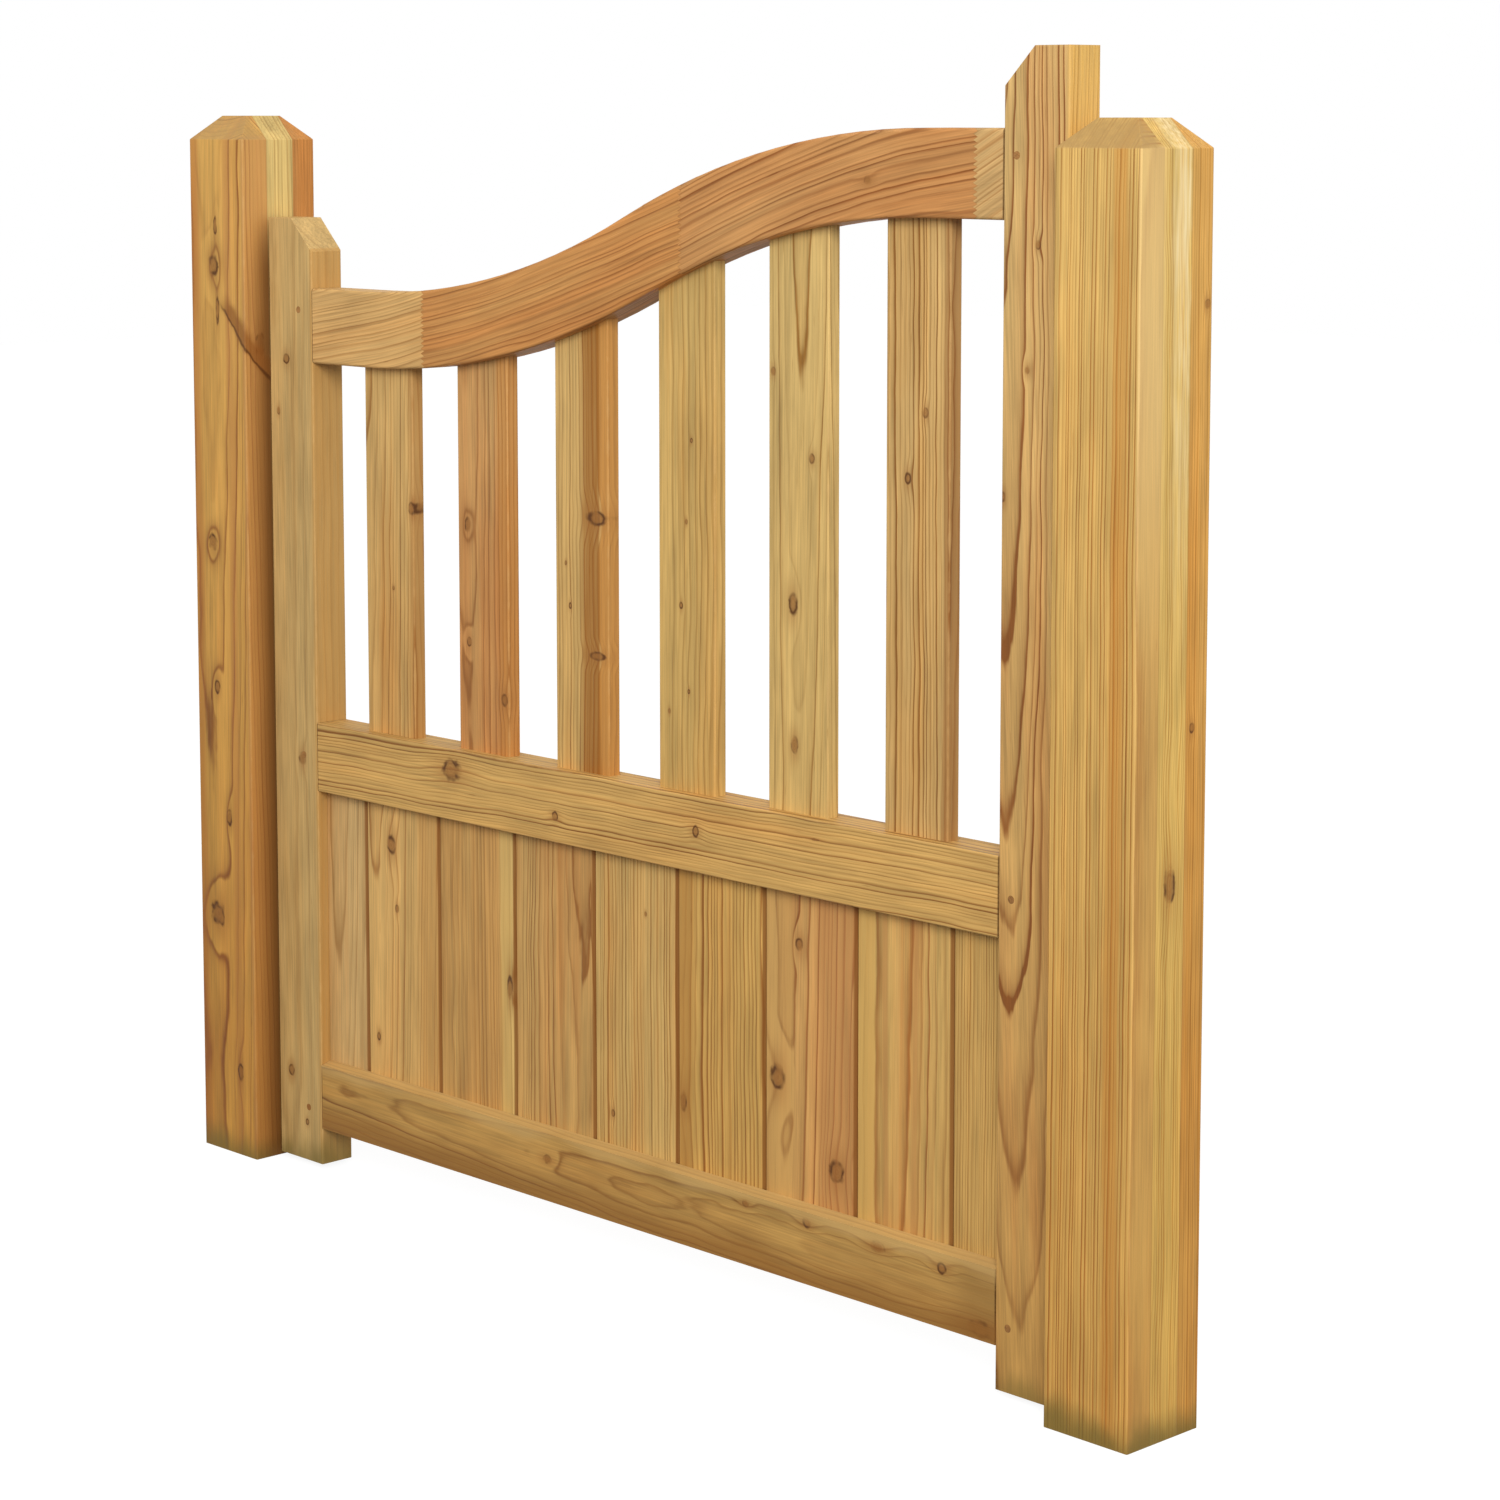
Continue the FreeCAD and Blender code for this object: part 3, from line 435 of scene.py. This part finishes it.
tree, place, colour, shader = timber("hanging_post", [
    stave((800, -24, 500), (0.1, 0.1, 0), 3.3, 2.0, 0.95, 4, 0.25, 0,
          (221, 182, 107), (167, 108, 43), (207, 150, 70), 1.3,
          [(600, 619, 4, 3, 12, (206, 142, 62), 0.45), (627, 640, 3, 1, 0, (232, 190, 116), 0.4)]),
    stave((640, 160, 500), (0.2, 0.2, 0), 3.0, 6.0, 1.0, 3, 0.1, 0,
          (228, 193, 112), (198, 147, 69), (218, 169, 82), 2.6),
    stave((560, 190, 500), (0.2, -0.1, 0), 2.8, 1.6, 0.7, 3, 0.45, 0,
          (226, 177, 97), (183, 122, 45), (215, 153, 72), 3.9),
], knots=[("Y", 39, 928, 3.0, 1.2), ("Y", 26, 587, 3, 1.3), ("Y", 0, 462, 6, 2.4)],
    split=along_y, limits=(-0.017, 0.018), foot=0.8, ground=(0.84, 0.73, 0.58))

# Painted light on the outer face: it grows paler towards the head, through flecked curly figure in its middle
# stave and a pale plain band before it. Bounds are distances through the gate, along it and up, in metres.
CURL_AND_TOP_LIGHT = tint(250, 226, 170)
CURL_FRONT = (-0.012, 0.006)
CURL_BACK = (0.019, 0.015)
CURL_LIGHT_RISE = (0.6, 0.98)
PAINTED_TOP_LIGHT = tint(240, 206, 140)
TOP_LIGHT_FACE = (0.6265, 0.6295)
TOP_LIGHT_BACK = (-0.008, -0.02)
TOP_LIGHT_RISE = (0.6, 0.9)
TOP_LIGHT_DEPTH = 0.5
x, y, z = put(tree, "ShaderNodeSeparateXYZ", {0: place}).outputs
wavy = maths(tree, "MULTIPLY_ADD", ripple(tree, place, (4, 4, 30), 5.0, 2.0), 0.008, y)
curl_and_light = maths(tree, "MULTIPLY", ramp(tree, wavy, *CURL_FRONT), ramp(tree, wavy, *CURL_BACK))
flecked = maths(tree, "MULTIPLY_ADD", ripple(tree, place, (260, 260, 16), 6.0, 2.0), 2.4, 0.5)
curl_and_light = maths(tree, "MULTIPLY", curl_and_light, put(tree, "ShaderNodeClamp", {0: flecked}).outputs[0])
# Painted light: the curly figure grows paler towards the head.
curl_and_light = maths(tree, "MULTIPLY", curl_and_light, ramp(tree, z, *CURL_LIGHT_RISE))
# Painted light: a pale plain band on the front of the outer face, stronger towards the head.
top_light = maths(tree, "MULTIPLY", ramp(tree, x, *TOP_LIGHT_FACE), ramp(tree, y, *TOP_LIGHT_BACK))
top_light = maths(tree, "MULTIPLY", maths(tree, "MULTIPLY", top_light, ramp(tree, z, *TOP_LIGHT_RISE)), TOP_LIGHT_DEPTH)
colour = mixed(tree, top_light, colour, PAINTED_TOP_LIGHT)
capped((tree, place, mixed(tree, curl_and_light, colour, CURL_AND_TOP_LIGHT), shader), 0.7)

tree, place, colour, shader = timber("closing_post", [
    stave((-604, 80, 500), (0.5, 0.6, 0), 4.2, 2.2, 0.95, 7, 0.3, 0,
          (226, 175, 93), (151, 93, 37), (209, 142, 69), 11.2,
          [(-640, -612, 1, 10, 20, (190, 122, 60), 0.5), (-575, -556, 6, 8, 10, (198, 134, 76), 0.4),
           (-546, -535, 4, 1, 0, (206, 150, 90), 0.6)]),
    stave((-560, 120, 500), (0.3, 0.2, 0), 4.0, 3.0, 0.5, 4, 0.1, 0,
          (218, 189, 119), (166, 119, 58), (203, 161, 92), 12.4),
    stave((-600, 160, 500), (0.2, 0.2, 0), 4.0, 2.0, 0.5, 4, 0.6, 0,
          (210, 149, 84), (172, 112, 50), (198, 131, 66), 13.1),
], knots=[("X", -588, 965, 2.5, 3.0), ("X", -592, 924, 7, 1.3), ("X", -586, 880, 2.5, 5.0),
          ("X", -600, 640, 6, 1.2), ("X", -596, 490, 4, 1.6), ("X", -579, 354, 4, 1.8),
          ("X", -601, 250, 10, 1.2), ("X", -566, 88, 4, 2.0), ("Y", -26, 846, 5, 2.0)],
    split=along_y, limits=(-0.015, 0.018), foot=0.75, ground=(0.72, 0.62, 0.47))

# Painted shadow: the stile's cast shadow and the shade in the gap darken the face next to the leaf, between
# the corner and the stile, up to the stile's head.
STILE_SHADOW_PAINT = tint(112, 66, 22)
CORNER_FACE = (-0.544, -0.541)
CORNER_FRONT = (-0.046, -0.016)
CORNER_BACK = (0.02, -0.01)
CORNER_TOP = (0.99, 0.9)
CORNER_DEPTH = 0.8
x, y, z = put(tree, "ShaderNodeSeparateXYZ", {0: place}).outputs
corner = maths(tree, "MULTIPLY", ramp(tree, x, *CORNER_FACE), ramp(tree, y, *CORNER_FRONT))
corner = maths(tree, "MULTIPLY", corner, ramp(tree, y, *CORNER_BACK))
uneven = maths(tree, "MULTIPLY_ADD", ripple(tree, place, (30, 30, 6), 8.0, 2.0), 0.06, z)
corner = maths(tree, "MULTIPLY", corner, ramp(tree, uneven, *CORNER_TOP))
corner = maths(tree, "MULTIPLY", corner, CORNER_DEPTH)
colour = mixed(tree, corner, colour, STILE_SHADOW_PAINT)

# A branch runs aslant from the middle of the front face down to the corner and round it: a brown band
# with a dark line along its lower side. Distance along the gate and through it are added, so that the
# band goes on at the same slope on the next face.
BRANCH = tint(140, 84, 32)
BRANCH_LINE = tint(84, 46, 16)
BRANCH_MIDDLE = (-0.576, -0.045, 0.890)
BRANCH_RUN = (0.68, 0.68, -0.73)
BRANCH_WIDTH = (0.73, 0.73, 0.68)
BRANCH_START = (-0.008, 0.016)
BRANCH_BACK = (0.0, -0.02)
BRANCH_HALF = 0.013
BRANCH_DEPTH = 0.75
BRANCH_LINE_HALF = (0.0025, 0.0003)
BRANCH_LINE_DEPTH = 0.8
away = arrows(tree, "SUBTRACT", place, BRANCH_MIDDLE)
reach = ramp(tree, arrows(tree, "DOT_PRODUCT", away, BRANCH_RUN), *BRANCH_START)
reach = maths(tree, "MULTIPLY", reach, ramp(tree, y, *BRANCH_BACK))
bowed = ripple(tree, place, (45, 45, 45), 6.0, 2.0)
side = maths(tree, "MULTIPLY_ADD", bowed, 0.016, arrows(tree, "DOT_PRODUCT", away, BRANCH_WIDTH))
band = maths(tree, "MULTIPLY", ramp(tree, maths(tree, "ABSOLUTE", side), BRANCH_HALF, BRANCH_HALF / 4), reach)
colour = mixed(tree, maths(tree, "MULTIPLY", band, BRANCH_DEPTH), colour, BRANCH)
low = maths(tree, "ABSOLUTE", maths(tree, "ADD", side, BRANCH_HALF / 2))
line = maths(tree, "MULTIPLY", ramp(tree, low, *BRANCH_LINE_HALF), reach)
line = maths(tree, "MULTIPLY", line, BRANCH_LINE_DEPTH)
capped((tree, place, mixed(tree, line, colour, BRANCH_LINE), shader), 0.5)

# Stiles
# The two uprights of the leaf, single lengths of larch with a clipped inner corner at the head.
# The rails are tenoned into them, and the right one is taller to meet the high end of the sweep.

timber("hanging_stile", [
    stave((471, 96, 500), (1.2, -2.6, 0), 3.0, 1.8, 1.3, 5, 0.3, 0,
          (221, 182, 116), (144, 90, 42), (204, 146, 86), 21.7,
          # Painted highlight: this pale yellow stripe covers the outer side face, as lit from the right.
          [(529, 545, 4, 1, 0, (232, 184, 92), 0.55)]),
], knots=[("X", 501, 973, 2.6, 1.2), ("X", 490, 871, 2.4, 1.3), ("X", 464, 765, 3, 1.3)],
    foot=0.6, ground=(0.77, 0.65, 0.47))

timber("closing_stile", [
    stave((-520, 60, 500), (0.5, -0.4, 0), 7.0, 3.0, 0.28, 5, 0.25, 0,
          (209, 173, 111), (157, 113, 57), (195, 149, 84), 25.2,
          # Painted shade and warm bounced light: this darker stripe covers the inner side face.
          [(-467, -455, 2, 1, 0, (192, 138, 66), 0.5)]),
], knots=[("X", -488, 425, 5, 1.2), ("X", -506, 832, 4, 1.2), ("X", -520, 779, 2.5, 1.5),
          ("X", -513, 96, 4, 1.2), ("X", -488, 46, 2.4, 1.2)], foot=0.7, ground=(0.88, 0.87, 0.84))

# Rails
# Three cross members with stub tenons. The swept top rail is finger-jointed from four lengths whose
# grain roughly follows its curve; the other two are single lengths.


TOOTH_PITCH = 0.005
SWEEP_HALF = 0.375
SWEEP_TAKEN_OFF = 0.135


def fingers(tree, place):
    """Distance along the rail, with the saw teeth of the finger joints across its depth.

    A tooth is a triangle wave of the height: 5 mm pitch, 5 mm long.
    """
    tooth = maths(tree, "PINGPONG", along_z(tree, place), TOOTH_PITCH / 2)
    return maths(tree, "MULTIPLY_ADD", tooth, 2.0, along_x(tree, place))


def unswept(tree, place):
    """The rail pulled straight: most of its rise is taken off, as a smooth step along the sweep."""
    step = ramp(tree, along_x(tree, place), -SWEEP_HALF, SWEEP_HALF)
    rise = maths(tree, "MULTIPLY", step, SWEEP_TAKEN_OFF)
    return arrows(tree, "SUBTRACT", place, put(tree, "ShaderNodeCombineXYZ", {2: rise}).outputs[0])


# Painted shadow: a thin dark line on each rail at its shoulder, where it meets a stile.
JOINT_SHADOW_LINE = (84, 56, 22)
LEFT_JOINT = (-475, -461.6, 1, 0.8, 0, JOINT_SHADOW_LINE, 0.75)
RIGHT_JOINT = (461.6, 475, 0.8, 1, 0, JOINT_SHADOW_LINE, 0.75)

timber("top_rail", [
    stave((-400, 40, 780), (0, 81, 0), 3.6, 3.0, 0.6, 3, 0.25, 0,
          (224, 180, 115), (158, 105, 47), (210, 153, 88), 31.4, [LEFT_JOINT]),
    stave((-100, 30, 800), (0, 87, 0), 4.6, 3.0, 0.8, 3.5, 0.6, 0,
          (218, 164, 97), (144, 87, 39), (202, 139, 77), 32.8),
    stave((250, 40, 820), (0, 82, 0), 5.0, 3.4, 0.95, 4, 0.6, 0,
          (214, 160, 99), (144, 86, 39), (200, 137, 78), 33.5),
    stave((450, 50, 990), (0, 62, 0), 4.6, 2.0, 0.7, 3.5, 0.2, 0,
          (209, 169, 110), (161, 106, 50), (197, 147, 84), 34.1, [RIGHT_JOINT]),
], knots=[("Z", 1023, 309, 3.5, 1.1)], grain="X", swept=unswept, split=fingers,
    limits=(-0.286, 0.078, 0.434))

timber("middle_rail", [
    stave((0, 24, 520), (0, 89.4, 0.2), 3.5, 3.4, 0.9, 3, 0.3, 0,
          (222, 182, 111), (143, 92, 39), (207, 153, 84), 41.9, [LEFT_JOINT, RIGHT_JOINT]),
], knots=[("Z", 444, -250, 9, 1.4), ("Z", 420, -98, 4, 0.9), ("Z", 433, 95, 5, 0.7),
          ("Z", 447, 247, 1.0, 5.0)], grain="X")

tree, place, colour, shader = timber("bottom_rail", [
    stave((0, 34, 84), (0, 90.9, -0.9), 3.4, 3.0, 0.95, 6, 0.35, 0,
          (203, 165, 98), (137, 91, 39), (187, 137, 72), 45.3,
          [(390, 480, 50, 1, 30, (140, 106, 56), 0.45), LEFT_JOINT, RIGHT_JOINT]),
], knots=[("Z", 85, -112, 4, 1.4), ("Z", 101, 160, 3, 1.2), ("Z", 100, 238, 4, 1.2),
          ("Z", 98, 325, 4.5, 1.6), ("Z", 97, 401, 4.5, 1.1), ("Z", 54, 446, 6, 2.2)], grain="X")
# Painted shade: the lower part of the bottom rail's face is darkened.
LOW_RAIL_SHADE = tint(140, 92, 36)
LOW_RAIL_SHADE_HEIGHT = (0.084, 0.05)
LOW_RAIL_SHADE_DEPTH = 0.68
# Painted highlight: a pale band along the top bevel of the bottom rail.
BEVEL_HIGHLIGHT = tint(214, 176, 112)
BEVEL_HIGHLIGHT_HEIGHT = (0.097, 0.109)
BEVEL_HIGHLIGHT_DEPTH = 0.5
uneven = ripple(tree, place, (9, 9, 30), 8.0, 2.0)
level = maths(tree, "MULTIPLY_ADD", uneven, 0.03, along_z(tree, place))
low_rail_shade = maths(tree, "MULTIPLY", ramp(tree, level, *LOW_RAIL_SHADE_HEIGHT), LOW_RAIL_SHADE_DEPTH)
colour = mixed(tree, low_rail_shade, colour, LOW_RAIL_SHADE)
rub_and_highlight = maths(tree, "MULTIPLY", ramp(tree, level, *BEVEL_HIGHLIGHT_HEIGHT), BEVEL_HIGHLIGHT_DEPTH)
tree.links.new(mixed(tree, rub_and_highlight, colour, BEVEL_HIGHLIGHT), shader.inputs["Base Color"])

# Palings
# Six planed slats, housed in the middle rail below and in the sweep above.
# Each is sawn from a different board, from plain flat-sawn flame to fine straight grain.

PALINGS = [
    ((-398, 44, 650), (0.5, 0.9, 0), 4.6, 2.4, 0.8, 7, 0.3, 0,
     (222, 182, 115), (156, 106, 46), (196, 140, 74), 51.1),
    ((-240, 60, 650), (0.5, -0.5, 0), 3.6, 2.0, 1.0, 7, 0.45, 0,
     (219, 173, 110), (155, 101, 50), (200, 139, 81), 52.2),
    ((26, 44, 650), (0.2, 0.3, 0), 4.2, 2.6, 0.85, 4, 0.25, 92,
     (221, 183, 115), (140, 89, 34), (190, 133, 64), 53.3),
    ((150, 40, 650), (0.2, 0.1, 0), 6.0, 4.0, 0.5, 5, 0.3, 0,
     (217, 181, 110), (156, 110, 45), (200, 152, 82), 54.4),
    ((216, 44, 650), (0.7, 0.6, 0), 4.0, 1.8, 0.75, 14, 0.15, 0,
     (222, 188, 119), (153, 107, 45), (203, 159, 86), 55.5),
    ((300, 40, 650), (0.2, -0.2, 0), 3.6, 3.4, 0.95, 4, 0.4, 0,
     (220, 184, 121), (143, 96, 41), (200, 155, 90), 56.6),
]
PALING_KNOTS = [
    [("X", -323, 693, 4, 1.4), ("X", -352, 612, 1.6, 1.2)],
    [("X", -237, 684, 4, 1.5), ("X", -236, 570, 3, 1.4), ("X", -184, 519, 4, 1.3)],
    [("X", -50, 705, 12, 0.5), ("X", -50, 576, 10, 0.35), ("X", -94, 660, 1.4, 1.4),
     ("X", -88, 620, 1.8, 1.5)],
    [("X", 78, 786, 1.6, 1.3), ("X", 71, 712, 1.6, 1.3), ("X", 64, 635, 2.2, 1.3),
     ("X", 74, 557, 1.6, 1.3), ("X", 48, 536, 1.6, 1.3)],
    [("X", 183, 854, 2.6, 1.3), ("X", 231, 780, 3, 1.3), ("X", 208, 650, 5, 1.8), ("X", 210, 525, 4, 1.6)],
    [("X", 366, 828, 3, 1.3), ("X", 346, 771, 3.5, 1.3), ("X", 402, 758, 3, 1.4)],
]
PALING_STRIPES = {
    1: [(-330, -310, 8, 1, 10, (170, 112, 52), 0.5)],
    2: [(-196, -170, 8, 1, 10, (206, 140, 66), 0.5)],
    3: [(-76, -45, 12, 3, 6, (158, 100, 34), 0.75), (-47, -30, 3, 1, 6, (216, 158, 86), 0.6)],
    6: [(386, 400, 4, 1, 8, (150, 88, 30), 0.5)],
}
for number, (cut, knots) in enumerate(zip(PALINGS, PALING_KNOTS), 1):
    timber("paling_%d" % number, [stave(*cut, PALING_STRIPES.get(number, ()))], knots=knots)

# Boards
# Nine tongue and groove boards with a vee at each joint, housed in the rails and the outer stiles.
# The vees are painted browner than the planed faces: painted shade in the recesses.

VEE_PAINTED_SHADE = tint(128, 76, 22)
VEE_DEPTH = 0.0016
VEE_SHADE = 0.85
BOARD_FACE = 0.007

BOARDS = [
    ((-446, 44, 250), (0.6, 1.0, 0), 4.0, 1.8, 0.8, 8, 0.4, 0,
     (220, 187, 130), (155, 110, 56), (206, 158, 100), 61.1),
    ((-386, 50, 250), (0.6, 0.8, 0), 4.2, 1.8, 0.7, 8, 0.3, 0,
     (231, 192, 124), (166, 112, 52), (215, 162, 96), 62.2),
    ((-290, 60, 250), (0.2, -0.6, 0), 4.0, 3.0, 0.8, 6, 0.3, 118,
     (233, 202, 132), (169, 120, 59), (210, 165, 101), 63.3),
    ((-70, 60, 250), (0.5, 0.6, 0), 4.2, 3.4, 1.0, 8, 0.45, 60,
     (221, 184, 118), (159, 108, 54), (205, 156, 95), 64.4),
    ((110, 60, 250), (0.2, 0.2, 0), 3.6, 3.0, 0.95, 4, 0.35, 0,
     (223, 190, 123), (168, 120, 59), (208, 163, 98), 65.5),
    ((40, 44, 250), (0.3, -0.5, 0), 4.8, 3.0, 1.1, 4, 0.3, 50,
     (223, 183, 108), (155, 102, 42), (206, 151, 79), 66.6),
    ((200, 44, 250), (0.6, 0.6, 0), 5.2, 1.7, 0.9, 14, 0.25, 0,
     (224, 179, 113), (157, 100, 50), (211, 150, 91), 67.7),
    ((330, 55, 250), (0.2, 0.2, 0), 7.0, 3.4, 1.0, 4, 0.35, 0,
     (224, 187, 116), (168, 112, 56), (206, 149, 86), 68.8),
    ((600, 40, 250), (0.1, 0.1, 0), 2.8, 2.0, 0.75, 3, 0.2, 0,
     (215, 178, 109), (152, 104, 43), (198, 151, 84), 69.9),
]
BOARD_KNOTS = [
    [],
    [("X", -360, 353, 6, 1.4), ("X", -352, 289, 2.6, 1.5), ("X", -383, 153, 2.6, 1.4)],
    [("X", -179, 239, 3.5, 3.0)],
    [],
    [("X", -31, 144, 2.4, 1.3), ("X", 15, 342, 1.5, 1.3)],
    [("X", 66, 175, 3.5, 2.4)],
    [("X", 216, 347, 4, 1.3), ("X", 189, 221, 8, 1.3), ("X", 263, 150, 8, 1.1)],
    [],
    [],
]
BOARD_STRIPES = {
    2: [(-320, -280, 10, 1, 12, (204, 150, 82), 0.4)],
    3: [(-196, -176, 5, 2, 10, (222, 184, 112), 0.5)],
    6: [(55, 84, 1, 10, 12, (176, 122, 56), 0.5)],
    7: [(168, 212, 1, 8, 14, (214, 176, 108), 0.5), (236, 290, 10, 1, 14, (200, 140, 86), 0.5)],
    8: [(284, 312, 1, 5, 10, (222, 184, 108), 0.6), (318, 328, 4, 3, 8, (198, 138, 84), 0.4),
        (331, 340, 3, 3, 8, (228, 190, 120), 0.45), (352, 362, 4, 3, 8, (198, 140, 86), 0.4),
        (374, 383, 4, 3, 8, (226, 186, 116), 0.4)],
}
for number, (cut, knots) in enumerate(zip(BOARDS, BOARD_KNOTS), 1):
    tree, place, colour, shader = timber(
        "board_%d" % number, [stave(*cut, BOARD_STRIPES.get(number, ()))], knots=knots, edge=0.0)
    # Painted shade: the colour darkens inside each vee.
    sunk = maths(tree, "SUBTRACT", BOARD_FACE, maths(tree, "ABSOLUTE", along_y(tree, place)))
    vee = maths(tree, "MULTIPLY", ramp(tree, sunk, 0.0, VEE_DEPTH), VEE_SHADE)
    tree.links.new(mixed(tree, vee, colour, VEE_PAINTED_SHADE), shader.inputs["Base Color"])

# Pegs
# Round hardwood pegs driven through stiles and tenons, and planed flush; only their end grain shows.

for node, seed in (("hanging_stile_pegs", 71.0), ("closing_stile_pegs", 72.0)):
    timber(node, [
        stave((0, 0, 0), (90, 0, 0), 1.4, 1.0, 0.6, 3, 0.5, 0,
              (176, 130, 78), (132, 88, 44), (160, 112, 62), seed)], edge=0.0)

# Hinges
# Two strap hinges on the back: mild steel plate, folded round a zinc-plated pin and powder-coated
# black, screwed to the rails and to the post with zinc-plated screws.

COAT_BLACK = tint(30, 30, 31)
COAT_GREY = tint(52, 52, 52)
BARE_STEEL = tint(128, 124, 118)
ZINC = tint(176, 178, 178)
ZINC_DULL = tint(132, 132, 128)
COAT_RUBBED = 0.5
RUBBED_REACH = 1.6
METAL_ROUGHNESS = 0.42


def metal(node, first, second, edge_wear_and_highlight, bare):
    """Coated or plated steel: cloudy colour, fine orange peel, and bare metal at the edges, where the coat
    has come off.
    """
    material = bpy.data.materials.new(node + "_metal")
    material.use_nodes = True
    tree = material.node_tree
    place = put(tree, "ShaderNodeTexCoord", {}).outputs["Object"]
    low, high = (np.array(corner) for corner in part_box(node))
    cloud = ripple(tree, place, (120, 120, 120), 2.0, 3.0)
    peel = ripple(tree, place, (1400, 1400, 1400), 4.0, 2.0)
    colour = mixed(tree, ramp(tree, cloud, -0.2, 0.25), first, second)
    rub_and_highlight = use_group(tree, "arris", {
        "Place": place, "Centre": (low + high) / 2, "Half": (high - low) / 2,
        "Reach": RUBBED_REACH})["Edge"]
    rub_and_highlight = maths(tree, "MULTIPLY", rub_and_highlight, edge_wear_and_highlight)
    colour = mixed(tree, rub_and_highlight, colour, BARE_STEEL)
    shader = tree.nodes["Principled BSDF"]
    tree.links.new(colour, shader.inputs["Base Color"])
    tree.links.new(maths(tree, "MULTIPLY_ADD", cloud, 0.3, METAL_ROUGHNESS), shader.inputs["Roughness"])
    if bare:
        shader.inputs["Metallic"].default_value = 1.0
    else:
        tree.links.new(rub_and_highlight, shader.inputs["Metallic"])
    bump = put(tree, "ShaderNodeBump", {"Height": peel, "Strength": 0.2, "Distance": 0.0003}).outputs[0]
    tree.links.new(bump, shader.inputs["Normal"])
    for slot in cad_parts[node].material_slots:
        slot.material = material


for level in ("upper", "lower"):
    metal(level + "_hinge_plate", COAT_BLACK, COAT_GREY, COAT_RUBBED, False)
    metal(level + "_hinge_strap", COAT_BLACK, COAT_GREY, COAT_RUBBED, False)
    metal(level + "_hinge_pin", ZINC, ZINC_DULL, 0.0, True)
    metal(level + "_plate_screws", ZINC, ZINC_DULL, 0.0, True)
    metal(level + "_strap_screws", ZINC, ZINC_DULL, 0.0, True)

# Floor, light and camera
# A pale studio floor under an even white surround, with one large soft lamp in front and to the right.
# The camera stands as high as the head of the gate, off its right-hand end, and looks slightly down.

FLOOR_HALF = 12.0
FLOOR_ALBEDO = 0.18
FLOOR_GLOW = 0.9
SKY = 0.657
KEY_WATTS = 362.0
KEY_SIZE = 3.2
KEY_PLACE = np.array((4.6, -4.4, 3.6))
KEY_AIM = np.array((0.2, 0.0, 0.8))
CAMERA_PLACE = (2.4717, -2.2611, 1.0825)
CAMERA_TILT = 83.7618
CAMERA_TURN = 45.8016
CAMERA_LENS = 87.981
CAMERA_SHIFT = -0.16
SENSOR = 36.0


def floor_sheet():
    """Flat square at ground level: x and y run from -half to +half, z = 0."""
    side = np.array((-FLOOR_HALF, FLOOR_HALF))
    x, y = np.meshgrid(side, side)
    corners = np.stack((x, y, np.zeros_like(x)), axis=-1).reshape(-1, 3)
    mesh = bpy.data.meshes.new("floor")
    mesh.from_pydata(corners.tolist(), [], [(0, 1, 3, 2)])
    sheet = bpy.data.objects.new("floor", mesh)
    bpy.context.scene.collection.objects.link(sheet)
    return sheet


def seen(tree):
    """1 for what is seen, straight, mirrored or through a surface, 0 for light that falls on things."""
    path = put(tree, "ShaderNodeLightPath", {}).outputs
    through = maths(tree, "MAXIMUM", path["Is Glossy Ray"], path["Is Transmission Ray"])
    return maths(tree, "MAXIMUM", path["Is Camera Ray"], through)


floor = floor_sheet()
paper = bpy.data.materials.new("floor_paper")
paper.use_nodes = True
tree = paper.node_tree
shader = tree.nodes["Principled BSDF"]
shader.inputs["Base Color"].default_value = (FLOOR_ALBEDO, FLOOR_ALBEDO, FLOOR_ALBEDO, 1.0)
shader.inputs["Roughness"].default_value = 1.0
shader.inputs["Specular IOR Level"].default_value = 0.0
shader.inputs["Emission Color"].default_value = (1.0, 1.0, 1.0, 1.0)
tree.links.new(maths(tree, "MULTIPLY", seen(tree), FLOOR_GLOW), shader.inputs["Emission Strength"])
floor.data.materials.append(paper)

world = bpy.data.worlds.new("white_surround")
bpy.context.scene.world = world
world.use_nodes = True
tree = world.node_tree
background = tree.nodes["Background"]
background.inputs["Color"].default_value = (1.0, 1.0, 1.0, 1.0)
share = {0: seen(tree), 2: SKY, 3: 1.0}
strength = put(tree, "ShaderNodeMix", share, data_type="FLOAT").outputs[0]
tree.links.new(strength, background.inputs["Strength"])


def aimed(thing, place, aim):
    """Stand a lamp at a place with its -Z axis towards the aim."""
    thing.location = place
    thing.rotation_euler = Vector(aim - place).to_track_quat("-Z", "Y").to_euler()


key_data = bpy.data.lights.new("key", "AREA")
key_data.energy = KEY_WATTS
key_data.size = KEY_SIZE
key = bpy.data.objects.new("key", key_data)
bpy.context.scene.collection.objects.link(key)
aimed(key, KEY_PLACE, KEY_AIM)

camera_data = bpy.data.cameras.new("camera")
camera_data.sensor_width = SENSOR
camera_data.lens = CAMERA_LENS
camera_data.shift_y = CAMERA_SHIFT
camera = bpy.data.objects.new("camera", camera_data)
bpy.context.scene.collection.objects.link(camera)
camera.location = CAMERA_PLACE
camera.rotation_euler = (math.radians(CAMERA_TILT), 0, math.radians(CAMERA_TURN))
bpy.context.scene.camera = camera
bpy.context.scene.view_settings.view_transform = "Standard"
